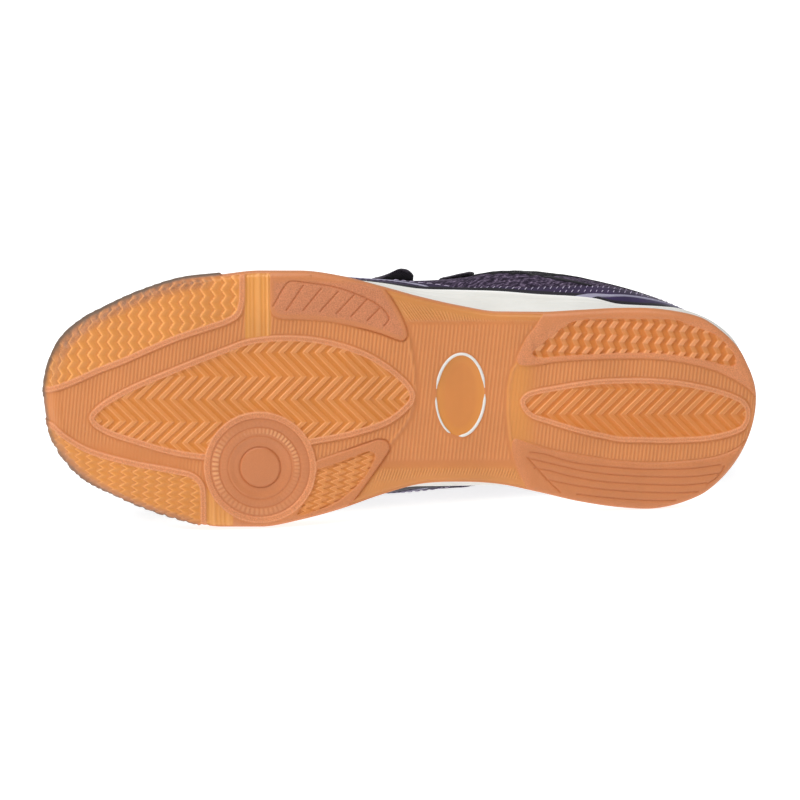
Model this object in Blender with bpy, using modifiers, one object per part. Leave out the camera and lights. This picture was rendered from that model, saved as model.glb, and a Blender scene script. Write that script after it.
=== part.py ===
"""Indoor court shoe, left foot, lying on its inner side.

Sizes are millimetres in the shoe's own axes and turn into metres when a mesh is made:
  x  along the shoe, 0 at the tip of the toe, LENGTH at the back of the heel
  v  across it, plus on the outer side of the foot, minus on the inner side
  h  height over the ground of the standing shoe
"""
import math

import bmesh
import bpy
from mathutils import Matrix, Vector

MM = 0.001

# ---------------------------------------------------------------- named sizes
LENGTH = 275.0            # outsole, toe to heel
LEAN = 8.397              # degrees: the sole tips up while the upper rests on the floor
ROLL = 2.877              # degrees: heel end down, until ball and heel edges both touch
REST = (0.077, -51.258, 47.328)   # moves the lying shoe over the origin

SOLE_THICK = 4.0          # outsole under the foot
CUP_WALL = 2.2            # rubber side wall
GAP = 0.3                 # between pieces that meet
LIP = 2.1                 # midsole rim around the upper
TRAY = 3.5                # how deep the upper sits in the midsole
WALL = 2.2                # upper, mesh and lining together
INSOLE_THICK = 4.0
TONGUE_EDGE, TONGUE_THICK = 1.8, 5.0
TUCK = 1.0                # tongue under the throat edges
STRAP_THICK = 1.6
FEATHER_FROM, FEATHER_TO = 5.0, 274.4     # midsole rim, along x
FORM_FROM, FORM_TO = 6.0, 270.5           # upper, along x

STATIONS = 30             # lofted sections from toe to heel, each side
THROAT_STATION = 12       # the section where the throat starts
BAND_DEPTH = 1.0          # ribbed bands between the lugs
GROOVE_DEPTH = 1.6        # between herringbone bars

# ---------------------------------------------------------------- tables
# outer and inner: half widths of the outsole; ground: height of its underside;
# edge: radius of its lower edge; wall: top of the rubber side wall
SOLE = (
    ("x", "outer", "inner", "ground", "edge", "wall"),
    (0.0, 0.0, 0.0, 10.0, 6.5, 17.0),
    (2.9, 14.6, 16.5, 9.0, 6.5, 16.8),
    (6.7, 21.5, 23.1, 7.8, 6.2, 16.4),
    (14.4, 28.8, 31.1, 5.7, 5.5, 15.0),
    (22.1, 33.8, 35.7, 4.2, 4.8, 13.6),
    (37.5, 41.1, 42.3, 2.0, 3.8, 11.2),
    (52.8, 46.1, 46.9, 0.7, 3.0, 9.6),
    (68.2, 48.0, 49.6, 0.1, 2.5, 8.8),
    (83.6, 49.6, 49.6, 0.0, 2.5, 8.4),
    (99.0, 49.6, 46.9, 0.0, 2.5, 8.2),
    (114.3, 47.7, 42.7, 0.0, 2.5, 8.0),
    (129.7, 43.8, 37.3, 0.6, 2.4, 7.8),
    (145.1, 39.6, 33.1, 1.7, 2.2, 7.4),
    (160.4, 36.1, 32.3, 2.4, 2.0, 7.8),
    (175.8, 33.8, 33.1, 2.1, 2.0, 7.5),
    (191.2, 33.8, 36.1, 0.7, 2.2, 6.4),
    (206.6, 34.6, 39.6, 0.0, 2.4, 5.8),
    (221.9, 35.4, 41.9, 0.0, 2.5, 5.6),
    (237.3, 35.0, 42.3, 0.0, 2.5, 5.6),
    (252.7, 31.9, 37.7, 0.1, 2.5, 5.8),
    (260.3, 27.3, 32.3, 0.5, 2.5, 6.2),
    (268.0, 19.6, 23.1, 1.3, 2.5, 7.2),
    (271.9, 12.3, 15.4, 2.0, 2.5, 7.8),
    (275.0, 0.0, 0.0, 2.8, 2.5, 8.4),
)

# outer and inner: half widths of the midsole's rim; rim: its height
RIM = (
    ("x", "outer", "inner", "rim"),
    (5.0, 0.0, 0.0, 20.0),
    (10.0, 17.0, 19.0, 19.4),
    (22.0, 29.5, 31.5, 18.2),
    (37.5, 37.0, 38.5, 17.2),
    (52.8, 42.0, 43.0, 16.5),
    (68.0, 44.5, 45.5, 16.0),
    (84.0, 46.0, 45.5, 16.0),
    (99.0, 46.0, 43.0, 16.3),
    (114.0, 44.6, 40.5, 17.2),
    (130.0, 43.0, 38.0, 18.8),
    (145.0, 41.2, 36.5, 20.4),
    (160.0, 40.6, 36.5, 21.6),
    (176.0, 40.0, 36.5, 22.6),
    (191.0, 38.7, 36.6, 23.6),
    (207.0, 37.7, 37.0, 24.8),
    (214.5, 36.7, 37.4, 25.3),
    (222.0, 34.7, 37.6, 25.8),
    (231.0, 34.0, 37.7, 26.2),
    (238.0, 33.6, 37.4, 26.6),
    (246.0, 32.8, 36.4, 27.1),
    (253.0, 30.7, 34.6, 27.6),
    (260.0, 27.4, 30.6, 28.0),
    (268.0, 20.6, 22.2, 28.6),
    (271.6, 14.2, 15.4, 28.8),
    (274.4, 0.0, 0.0, 29.0),
)

# the upper's sections: widest half widths, height of the widest line, height and
# side shift of the closed top, squareness of both sides, and the angle at which the
# opening cuts them
FORM = (
    ("x", "outer", "inner", "widest", "top", "shift", "square", "inner_square", "cut"),
    (6.0, 0.0, 0.0, 29.0, 33.0, 0.0, 2.4, 2.4, 90.0),
    (10.0, 17.0, 19.0, 29.0, 40.0, 0.0, 2.4, 2.4, 90.0),
    (16.0, 23.5, 25.5, 29.5, 44.5, -0.5, 2.4, 2.4, 90.0),
    (26.0, 31.0, 33.0, 30.0, 48.0, -1.0, 2.4, 2.4, 90.0),
    (45.0, 39.5, 40.5, 29.5, 51.5, -2.0, 2.3, 2.3, 90.0),
    (70.0, 45.0, 44.5, 29.0, 57.5, -3.5, 2.2, 2.2, 90.0),
    (97.4, 46.4, 43.3, 30.2, 66.9, -4.0, 2.1, 2.1, 90.0),
    (101.0, 46.1, 42.9, 30.5, 68.5, -4.0, 2.1, 2.1, 82.5),
    (107.0, 45.2, 42.3, 31.0, 71.1, -4.0, 2.1, 2.1, 78.5),
    (120.0, 43.4, 41.5, 32.0, 77.0, -4.0, 2.1, 2.1, 73.0),
    (145.0, 42.6, 40.5, 34.0, 88.0, -4.0, 2.0, 2.0, 69.0),
    (163.0, 43.4, 39.5, 36.0, 95.0, -3.0, 2.2, 2.0, 64.0),
    (172.0, 44.8, 38.2, 37.0, 97.0, -2.5, 2.35, 2.05, 57.0),
    (181.0, 45.2, 37.8, 38.0, 97.0, -2.0, 2.55, 2.2, 48.5),
    (195.0, 44.3, 37.4, 40.0, 94.0, -1.0, 2.8, 2.5, 39.5),
    (212.0, 41.6, 35.4, 42.0, 91.0, 0.0, 2.8, 2.5, 35.5),
    (235.0, 35.5, 32.2, 44.0, 94.0, 0.0, 2.6, 2.3, 36.5),
    (252.0, 28.2, 28.0, 46.0, 101.0, 0.0, 2.4, 2.2, 42.0),
    (262.0, 19.8, 20.0, 47.0, 106.0, 0.0, 2.3, 2.2, 43.0),
    (268.0, 10.0, 10.5, 47.5, 108.0, 0.0, 2.2, 2.2, 43.3),
    (270.5, 0.0, 0.0, 48.0, 108.5, 0.0, 2.2, 2.2, 43.3),
)

# the tongue: half width along the form
TONGUE = (
    ("x", "half"),
    (82.0, 11.0),
    (90.0, 15.0),
    (110.0, 18.5),
    (140.0, 20.5),
    (172.0, 21.0),
)
# and above it, where the tongue leaves the form: forward shift, rise, share of the width
TONGUE_TOP = (
    ("back", "rise", "share"),
    (2.5, 4.0, 1.0),
    (5.5, 9.5, 0.98),
    (8.0, 14.5, 0.86),
    (9.0, 17.0, 0.62),
)

# straps: middle and width along x, angles round the form at the free and the fixed
# end, slant along x from free to fixed end, and how far the free end stands off
STRAPS = (
    ("name", "x", "width", "free", "fixed", "slant", "lift"),
    ("strap_front", 134.6, 17.0, 9.0, 138.0, -3.0, 3.2),
    ("strap_rear", 160.4, 14.5, 11.0, 136.0, -2.0, 0.5),
)

# tread fields between two edges, "high" to the outer side and "low" to the inner side
FORE_FIELD = (
    ("x", "high", "low"),
    (-3.0, 3.0, -11.0), (6.7, 4.6, -14.6), (22.0, 13.4, -21.4), (41.0, 19.6, -26.3),
    (52.0, 24.2, -28.0), (60.5, 27.2, -30.5), (62.0, 27.7, -60.0), (76.5, 33.6, -60.0),
    (78.5, 60.0, -60.0), (87.4, 60.0, -60.0), (88.2, 35.0, -60.0), (99.0, 31.7, -60.0),
    (111.0, 30.7, -60.0), (123.0, 28.0, -60.0), (131.0, 25.7, -60.0), (141.0, 23.4, -60.0),
)
CENTRE_PAD = (
    ("x", "high", "low"),
    (17.4, -6.6, -8.4), (20.0, -3.4, -11.4), (30.6, 3.7, -15.8), (50.2, 12.4, -21.4), (64.8, 18.5, -23.3),
    (79.6, 23.8, -23.0), (94.4, 25.2, -20.5), (104.0, 24.6, -16.9), (118.8, 21.0, -14.0),
    (133.5, 13.5, -9.1), (141.2, 6.5, -3.1), (143.0, 3.2, 0.2),
)
INNER_REAR_PAD = (
    ("x", "high", "low"),
    (98.0, -43.4, -45.0), (103.5, -34.0, -44.2), (110.5, -24.2, -42.5), (120.7, -18.7, -38.4),
    (125.4, -16.3, -32.7), (128.2, -15.4, -28.2), (133.0, -17.2, -18.6),
)
SHANK_FIELD = (
    ("x", "high", "low"),
    (146.0, 60.0, -60.0), (161.0, 60.0, -60.0), (176.5, 60.0, -60.0),
)
HEEL_FIELD = (
    ("x", "high", "low"),
    (181.5, 12.5, -8.5), (188.1, 16.6, -11.0), (202.7, 16.7, -16.4), (216.5, 17.5, -19.6),
    (230.4, 18.0, -20.6), (249.2, 16.2, -20.4), (265.7, 12.6, -17.5), (269.5, 8.0, -13.0),
)
HEEL_PAD = (
    ("x", "high", "low"),
    (184.0, 1.7, -0.6), (189.7, 4.6, -6.5), (202.7, 7.2, -11.1), (221.0, 8.1, -15.4),
    (240.0, 7.1, -16.1), (258.4, 3.4, -15.4), (267.0, 0.2, -13.2), (272.0, -2.6, -8.0),
)
# herringbone: field, rows where it turns, tip shift along x, pitch, groove width
BARS = (
    ("pad", "rim", "turns", "tip", "pitch", "groove"),
    (CENTRE_PAD, 1.9, (27.8, 18.6, 9.4, 0.4, -8.3, -17.2, -26.0), 8.8, 4.66, 2.1),
    (HEEL_PAD, 1.9, (16.0, 4.8, -5.6, -16.5), 10.0, 4.88, 2.3),
)
PIVOT = {"x": 83.5, "v": -26.1, "outer": 21.7, "ring": 19.0, "dish": 12.3, "stud": 7.7}
WINDOW = {"x": 160.8, "v": 2.3, "along": 9.7, "across": 16.1, "rim": 1.2, "deep": 1.6}


# ---------------------------------------------------------------- reading tables
def between(xs, ys, at, soft=True):
    """Value at a place between the rows, on a curve through them."""
    if at <= xs[0]:
        return ys[0]
    if at >= xs[-1]:
        return ys[-1]
    i = max(k for k in range(len(xs) - 1) if xs[k] <= at)
    step = xs[i + 1] - xs[i]
    t = (at - xs[i]) / step
    if not soft:
        return ys[i] * (1 - t) + ys[i + 1] * t

    def slope(k):
        lo, hi = max(k - 1, 0), min(k + 1, len(xs) - 1)
        if ys[k] == ys[lo] != ys[hi] or ys[k] == ys[hi] != ys[lo]:
            return 0.0                               # a level stretch stays level
        return (ys[hi] - ys[lo]) / (xs[hi] - xs[lo])

    a, b = slope(i) * step, slope(i + 1) * step
    return ((2 * t ** 3 - 3 * t ** 2 + 1) * ys[i] + (t ** 3 - 2 * t ** 2 + t) * a
            + (3 * t ** 2 - 2 * t ** 3) * ys[i + 1] + (t ** 3 - t ** 2) * b)


class Table:
    """Rows under named columns; keys along x become angles, so the ends come out round."""

    def __init__(self, rows, start=None, end=None):
        self.names = rows[0]
        self.rows = rows[1:]
        self.start, self.end = start, end
        self.keys = [row[0] if start is None else self.angle(row[0]) for row in self.rows]

    def angle(self, x):
        share = (x - self.start) / (self.end - self.start)
        return math.acos(max(-1.0, min(1.0, 1 - 2 * share)))

    def x(self, angle):
        return self.start + (self.end - self.start) * (1 - math.cos(angle)) / 2

    def column(self, name):
        i = self.names.index(name)
        return [row[i] for row in self.rows]

    def read(self, name, key, soft=True):
        return between(self.keys, self.column(name), key, soft)

    def at_x(self, name, x):
        return self.read(name, self.angle(x))


SOLE_T = Table(SOLE, 0.0, LENGTH)
RIM_T = Table(RIM, FEATHER_FROM, FEATHER_TO)
FORM_T = Table(FORM, FORM_FROM, FORM_TO)
THROAT_TURN = math.pi * THROAT_STATION / STATIONS
TONGUE_T = Table(TONGUE)


# ---------------------------------------------------------------- plan loops
def plan(table, turn):
    """Point of a loop: turn 0 at the toe, pi at the heel, outer side first."""
    side = "outer" if turn <= math.pi else "inner"
    key = turn if turn <= math.pi else 2 * math.pi - turn
    v = table.read(side, key)
    return Vector((table.x(key), v if side == "outer" else -v))


def inset(table, turn, distance):
    """The same point moved inwards, square to the loop."""
    small = 0.01
    ahead = plan(table, (turn + small) % (2 * math.pi))
    behind = plan(table, (turn - small) % (2 * math.pi))
    along = (ahead - behind).normalized()
    outward = Vector((-along.y, along.x))
    return plan(table, turn) - outward * distance


def turns(count=STATIONS):
    return [math.pi * i / count for i in range(2 * count)]


def ring(table, distance, height):
    """Closed loop of points at an inset; height is a function of the point."""
    loop = []
    for turn in turns():
        p = inset(table, turn, distance(turn) if callable(distance) else distance)
        loop.append(Vector((p.x, p.y, height(p.x, turn))))
    return loop


def spine(table, share, distance, height):
    """The loop drawn in towards a line along its middle; share 1 is that line."""
    loop = []
    for turn in turns():
        key = turn if turn <= math.pi else 2 * math.pi - turn
        p = inset(table, turn, distance(turn) if callable(distance) else distance)
        middle = (table.read("outer", key) - table.read("inner", key)) / 2
        ends = 16.0
        x = table.start + ends + (p.x - table.start) * (table.end - table.start - 2 * ends) / (table.end - table.start)
        other = inset(table, (2 * math.pi - turn) % (2 * math.pi), distance(turn) if callable(distance) else distance)
        x = table.start + ends + ((p.x + other.x) / 2 - table.start) * (table.end - table.start - 2 * ends) / (table.end - table.start)
        q = Vector((p.x + (x - p.x) * share, p.y + (middle - p.y) * share))
        loop.append(Vector((q.x, q.y, height(q.x, turn))))
    return loop


def ground(x):
    return SOLE_T.at_x("ground", max(0.0, min(LENGTH, x)))


def wall_top(x):
    return SOLE_T.at_x("wall", max(0.0, min(LENGTH, x)))


def rim(x):
    return RIM_T.at_x("rim", max(FEATHER_FROM, min(FEATHER_TO, x)))


# ---------------------------------------------------------------- the last
def form(angle, around, spread=0.0):
    """Outer face of the upper as a closed form.

    angle: place from toe to heel.  around: degrees, 0 on the widest line of the outer
    side, 90 on top, 180 on the widest line of the inner side.
    """
    side = "outer" if around <= 90 else "inner"
    sign = 1 if side == "outer" else -1
    rise = math.radians(around if around <= 90 else 180 - around)
    half = sign * FORM_T.read(side, angle)
    shift = FORM_T.read("shift", angle)
    widest, top = FORM_T.read("widest", angle), FORM_T.read("top", angle)
    power = 2 / FORM_T.read("square" if side == "outer" else "inner_square", angle)
    v = shift + (half - shift) * max(0.0, math.cos(rise)) ** power
    h = widest + (top - widest) * max(0.0, math.sin(rise)) ** power
    return Vector((form_x(FORM_T.x(angle), h), v, h))


def form_x(x, h):
    """The back of the heel leans: in at the top line and at the midsole."""
    share = max(0.0, min(1.0, (x - 222.0) / 46.0))
    share = share * share * (3 - 2 * share)
    lean = 5.0 * ((h - 50.0) / 40.0) ** 2 if h > 50.0 else 0.2 * ((50.0 - h) / 22.0) ** 2
    return x - lean * share


def form_out(angle, around, distance):
    """The form moved out along its own normal."""
    da, dr = 0.004, 0.4
    a = form(min(math.pi, angle + da), around) - form(max(0.0, angle - da), around)
    r = form(angle, min(180.0, around + dr)) - form(angle, max(0.0, around - dr))
    normal = r.cross(a).normalized()
    if normal.dot(Vector((0, math.cos(math.radians(around)), math.sin(math.radians(around))))) < 0:
        normal.negate()
    return form(angle, around) + normal * distance


def around_for(angle, v):
    """Degrees round the form at which its face is v off the middle."""
    shift = FORM_T.read("shift", angle)
    side = "outer" if v >= shift else "inner"
    half = (1 if side == "outer" else -1) * FORM_T.read(side, angle)
    power = FORM_T.read("square" if side == "outer" else "inner_square", angle) / 2
    share = max(0.0, min(1.0, (v - shift) / (half - shift)))
    rise = math.degrees(math.acos(share ** power))
    return rise if side == "outer" else 180 - rise


def upper_column(angle, side, low=3, high=7):
    """One section of the upper, from the midsole's tray up to the opening's edge."""
    turn = angle if side == "outer" else 2 * math.pi - angle
    foot = inset(RIM_T, turn % (2 * math.pi), LIP + GAP)
    lip = rim(foot.x)
    points = [Vector((foot.x, foot.y, lip - TRAY + GAP)), Vector((foot.x, foot.y, lip - 0.4))]
    widest = form(angle, 0.0 if side == "outer" else 180.0)
    for k in range(1, low + 1):
        t = k / low
        out = 1 - (1 - t) ** 1.7
        points.append(Vector((foot.x + (widest.x - foot.x) * out, foot.y + (widest.y - foot.y) * out,
                              lip - 0.4 + (widest.z - lip + 0.4) * t)))
    cut = 90.0 if angle <= THROAT_TURN + 1e-6 else min(88.0, FORM_T.read("cut", angle))
    for k in range(1, high + 1):
        around = cut * k / high
        points.append(form(angle, around if side == "outer" else 180.0 - around))
    return points


# ---------------------------------------------------------------- mesh helpers
def to_frame(p):
    return Vector((p.x - LENGTH / 2, p.z, p.y)) * MM


def finish(name, verts, faces, group, doubles=1e-5):
    mesh = bpy.data.meshes.new(name)
    mesh.from_pydata([to_frame(v) for v in verts], [], faces)
    work = bmesh.new()
    work.from_mesh(mesh)
    bmesh.ops.remove_doubles(work, verts=work.verts, dist=doubles)
    bmesh.ops.dissolve_degenerate(work, edges=work.edges, dist=1e-6)
    bmesh.ops.recalc_face_normals(work, faces=work.faces)
    work.to_mesh(mesh)
    work.free()
    obj = bpy.data.objects.new(name, mesh)
    group.objects.link(obj)
    return obj


def skin(loops, closed=True):
    """Faces between loops of equal length."""
    count = len(loops[0])
    verts = [p for loop in loops for p in loop]
    faces = []
    for i in range(len(loops) - 1):
        for j in range(count if closed else count - 1):
            k = (j + 1) % count
            faces.append((i * count + j, i * count + k, (i + 1) * count + k, (i + 1) * count + j))
    return verts, faces


def capped(loops):
    verts, faces = skin(loops)
    count = len(loops[0])
    faces.append(tuple(range(count)))
    faces.append(tuple(len(verts) - count + j for j in range(count)))
    return verts, faces


def field_prism(name, rows, depth, group, rim_width=0.0, floor=-12.0, steps=12):
    """Solid between the two edges of a tread field, from under the sole up to a depth."""
    table = Table(rows)
    first, last = table.keys[0] + rim_width, table.keys[-1] - rim_width
    places = sorted({round(first + (last - first) * i / steps, 3) for i in range(steps + 1)}
                    | {k for k in table.keys if first < k < last})
    loops = []
    for x in places:
        high, low = table.read("high", x, False) - rim_width, table.read("low", x, False) + rim_width
        if high - low < 0.6:
            high, low = (high + low) / 2 + 0.3, (high + low) / 2 - 0.3
        top = ground(x) + depth
        loops.append([Vector((x, high, top)), Vector((x, low, top)), Vector((x, low, floor)), Vector((x, high, floor))])
    return finish(name, *capped(loops), group)


def bar_grooves(name, pad, rim_width, turn_rows, tip, pitch, groove, group, floor=-10.0):
    """Zigzag grooves that leave the herringbone bars standing."""
    table = Table(pad)
    verts, faces = [], []
    x = table.keys[0] - 2 * tip
    while x < table.keys[-1] + tip:
        loops = []
        for i, v in enumerate(turn_rows):
            at = x + (tip if i % 2 == 0 else 0.0)
            top = ground(at) + GROOVE_DEPTH
            loops.append([Vector((at, v, top)), Vector((at + groove, v, top)),
                          Vector((at + groove, v, floor)), Vector((at, v, floor))])
        more_verts, more_faces = capped(loops)
        faces += [tuple(k + len(verts) for k in face) for face in more_faces]
        verts += more_verts
        x += pitch
    grooves = finish(name, verts, faces, group)
    inside = field_prism(name + "_area", pad, GROOVE_DEPTH + 3.0, group, rim_width)
    cut(grooves, inside, "INTERSECT")
    return grooves


def disc(name, x, v, outer, depth, group, count=28, floor=-10.0, across=None):
    loops = []
    for h in (ground(x) + depth, floor):
        loops.append([Vector((x + outer * math.cos(2 * math.pi * i / count),
                              v + (across or outer) * math.sin(2 * math.pi * i / count), h)) for i in range(count)])
    return finish(name, *capped(loops), group)


def cut(target, tool, how="DIFFERENCE"):
    step = target.modifiers.new(tool.name, "BOOLEAN")
    step.object, step.operation, step.solver = tool, how, "EXACT"
    return target


def material(name, colour, roughness):
    mat = bpy.data.materials.new(name)
    mat.use_nodes = True
    shader = mat.node_tree.nodes["Principled BSDF"]
    shader.inputs["Base Color"].default_value = (*colour, 1.0)
    shader.inputs["Roughness"].default_value = roughness
    shader.inputs["Metallic"].default_value = 0.0
    return mat


# ---------------------------------------------------------------- pieces
def edge_radius(turn):
    key = turn if turn <= math.pi else 2 * math.pi - turn
    return SOLE_T.read("edge", key)


def sole_edge(degrees):
    """Ring on the rounded lower edge: 0 underneath, 90 on the side."""
    slope = math.radians(degrees)

    def height(x, turn):
        radius = edge_radius(turn)
        base = inset(SOLE_T, turn, radius)
        return ground(base.x) + radius * (1 - math.cos(slope))

    return ring(SOLE_T, lambda turn: edge_radius(turn) * (1 - math.sin(slope)), height)


def build_outsole(group, tools):
    under = lambda x, turn: ground(x)
    inside = lambda x, turn: ground(x) + SOLE_THICK
    side_top = lambda drop: (lambda x, turn: wall_top(x) - drop)
    loops = [
        spine(SOLE_T, 1.0, edge_radius, under),
        sole_edge(0), sole_edge(35), sole_edge(65), sole_edge(90),
        ring(SOLE_T, 0.0, side_top(0.7)),
        ring(SOLE_T, 0.7, side_top(0.0)),
        ring(SOLE_T, CUP_WALL, side_top(0.0)),
        ring(SOLE_T, CUP_WALL + 0.5, inside),
        spine(SOLE_T, 1.0, CUP_WALL + 0.5, inside),
    ]
    sole = finish("outsole", *skin(loops), group)

    fore = field_prism("fore_field", FORE_FIELD, BAND_DEPTH, tools, floor=-9.0)
    cut(fore, field_prism("centre_pad", CENTRE_PAD, BAND_DEPTH + 3, tools))
    cut(fore, field_prism("inner_rear_pad", INNER_REAR_PAD, BAND_DEPTH + 3, tools))
    cut(fore, disc("pivot_pad", PIVOT["x"], PIVOT["v"], PIVOT["outer"], BAND_DEPTH + 3, tools, floor=-11.0))
    shank = field_prism("shank_field", SHANK_FIELD, BAND_DEPTH, tools, floor=-9.0, steps=8)
    cut(shank, disc("window_rim", WINDOW["x"], WINDOW["v"], WINDOW["along"] + WINDOW["rim"], BAND_DEPTH + 3, tools,
                    floor=-11.0, across=WINDOW["across"] + WINDOW["rim"]))
    heel = field_prism("heel_field", HEEL_FIELD, BAND_DEPTH, tools, floor=-9.0)
    cut(heel, field_prism("heel_pad", HEEL_PAD, BAND_DEPTH + 3, tools))
    for area in (fore, shank, heel):
        cut(sole, area)

    keys = BARS[0]
    for number, row in enumerate(BARS[1:]):
        values = dict(zip(keys, row))
        cut(sole, bar_grooves("bars_%d" % number, values["pad"], values["rim"], values["turns"], values["tip"],
                              values["pitch"], values["groove"], tools))

    moat = disc("pivot_moat", PIVOT["x"], PIVOT["v"], PIVOT["ring"], 1.3, tools)
    cut(moat, disc("pivot_ring", PIVOT["x"], PIVOT["v"], PIVOT["ring"] - 2.2, 6.0, tools, floor=-11.0))
    cut(sole, moat)
    dish = disc("pivot_dish", PIVOT["x"], PIVOT["v"], PIVOT["dish"], 1.4, tools)
    cut(dish, disc("pivot_stud", PIVOT["x"], PIVOT["v"], PIVOT["stud"], 6.0, tools, floor=-11.0))
    cut(sole, dish)
    cut(sole, disc("window_cut", WINDOW["x"], WINDOW["v"], WINDOW["along"], WINDOW["deep"], tools,
                   across=WINDOW["across"]))
    return sole


def build_midsole(group):
    under = lambda x, turn: ground(x) + SOLE_THICK + GAP
    side = CUP_WALL + 0.5 + GAP + 0.15

    def step(x, turn):
        return wall_top(x) + GAP

    def flank(share, drop=0.0):
        loop = []
        for turn in turns():
            low, high = inset(SOLE_T, turn, 0.5), inset(RIM_T, turn, 0.0)
            bottom, top = wall_top(low.x) + GAP + 0.5, rim(high.x) - 0.8
            p = low.lerp(high, share - 0.10 * math.sin(math.pi * share))
            loop.append(Vector((p.x, p.y, bottom + (top - bottom) * share)))
        return loop

    lip = lambda drop: (lambda x, turn: rim(x) - drop)
    loops = [
        spine(SOLE_T, 1.0, side, under),
        ring(SOLE_T, side, under),
        ring(SOLE_T, CUP_WALL + GAP + 0.1, step),
        ring(SOLE_T, 1.0, step),
        flank(0.0), flank(0.35), flank(0.7), flank(1.0),
        ring(RIM_T, 0.7, lip(0.0)),
        ring(RIM_T, LIP - 0.5, lip(0.0)),
        ring(RIM_T, LIP, lip(0.5)),
        ring(RIM_T, LIP, lip(TRAY)),
        spine(RIM_T, 1.0, LIP, lip(TRAY)),
    ]
    return finish("midsole", *skin(loops), group)


def build_upper(group):
    angles = sorted([math.pi * i / STATIONS for i in range(STATIONS + 1)]
                    + [THROAT_TURN + 0.022, THROAT_TURN + 0.058])
    sections = []
    for side in ("outer", "inner"):
        sections.append([upper_column(angle, side) for angle in angles])
    # ends and the closed vamp: both sides share their points
    verts, faces = [], []
    rows, cols = len(angles), len(sections[0][0])
    for sections_side in sections:
        base = len(verts)
        verts += [p for column in sections_side for p in column]
        for i in range(rows - 1):
            for j in range(cols - 1):
                a = base + i * cols + j
                faces.append((a, a + 1, a + cols + 1, a + cols))
    shell = finish("upper", verts, faces, group)
    wall = shell.modifiers.new("wall", "SOLIDIFY")
    wall.thickness, wall.offset, wall.use_even_offset, wall.use_rim = WALL * MM, -1.0, False, True
    return shell


def build_insole(group):
    edge = LIP + GAP + WALL + GAP + 0.7
    low = lambda extra: (lambda x, turn: rim(x) - TRAY + GAP + extra)

    def top(extra):
        def height(x, turn):
            heel = max(0.0, min(1.0, (x - 130.0) / 90.0))
            return rim(x) - TRAY + GAP + INSOLE_THICK + extra * heel
        return height

    loops = [
        spine(RIM_T, 1.0, edge, low(0.0)),
        ring(RIM_T, edge + 0.8, low(0.0)),
        ring(RIM_T, edge, low(0.8)),
        ring(RIM_T, edge, lambda x, turn: top(1.5)(x, turn) - 1.0),
        ring(RIM_T, edge + 1.2, top(1.5)),
        spine(RIM_T, 0.6, edge, top(-0.4)),
        spine(RIM_T, 1.0, edge, top(-0.6)),
    ]
    return finish("insole", *skin(loops), group)


def build_tongue(group, across=8, along=11):
    first, last = TONGUE_T.keys[0], TONGUE_T.keys[-1]
    loops = []
    for i in range(along + 1):
        x = first + (last - first) * i / along
        angle = FORM_T.angle(x)
        middle, half = FORM_T.read("shift", angle), TONGUE_T.read("half", x)
        thick = TONGUE_THICK * min(1.0, 0.35 + 0.65 * i / 3)
        outer, inner = [], []
        for j in range(across + 1):
            u = -1 + 2 * j / across
            around = around_for(angle, middle + half * u)
            body = TONGUE_EDGE + (thick - TONGUE_EDGE) * (1 - u * u) if thick > TONGUE_EDGE else thick
            outer.append(form_out(angle, around, -(WALL + TUCK)))
            inner.append(form_out(angle, around, -(WALL + TUCK + body)))
        loops.append(outer + inner[::-1])
    base = loops[-1]
    centre = sum((p.y for p in base), 0.0) / len(base)
    for row in TONGUE_TOP[1:]:
        step = dict(zip(TONGUE_TOP[0], row))
        loops.append([Vector((p.x + step["back"], centre + (p.y - centre) * step["share"], p.z + step["rise"]))
                      for p in base])
    return finish("tongue", *capped(loops), group)


def build_strap(row, group, along=14, across=3):
    s = dict(zip(STRAPS[0], row))
    loops = []
    span = s["fixed"] - s["free"]
    tip = [k / (span * 0.95) for k in (0.0, 0.7, 1.9, 3.6, 6.0)]
    for t in tip + [tip[-1] + (1 - tip[-1]) * i / along for i in range(1, along + 1)]:
        around = s["free"] + span * t
        middle = s["x"] + s["slant"] * t
        run = t * span * 0.95                       # about millimetres from the free end
        back = (1 - t) * span * 0.95
        half = s["width"] / 2
        if run < 5.0:
            half *= 0.5 + 0.5 * math.sqrt(1 - (1 - run / 5.0) ** 2)
        if back < 2.0:
            half *= 0.85 + 0.15 * back / 2.0
        outer, inner = [], []
        for j in range(across + 1):
            u = -1 + 2 * j / across                 # -1 towards the toe, 1 towards the heel
            angle = FORM_T.angle(middle + half * u)
            lift = s["lift"] * max(0.0, 1 - run / 16.0) ** 2 * (u + 1) / 2
            outer.append(form_out(angle, around, 0.5 + lift + STRAP_THICK))
            inner.append(form_out(angle, around, 0.5 + lift))
        loops.append(outer + inner[::-1])
    return finish(s["name"], *capped(loops), group)


def collection(name):
    group = bpy.data.collections.new(name)
    bpy.context.scene.collection.children.link(group)
    return group


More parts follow.
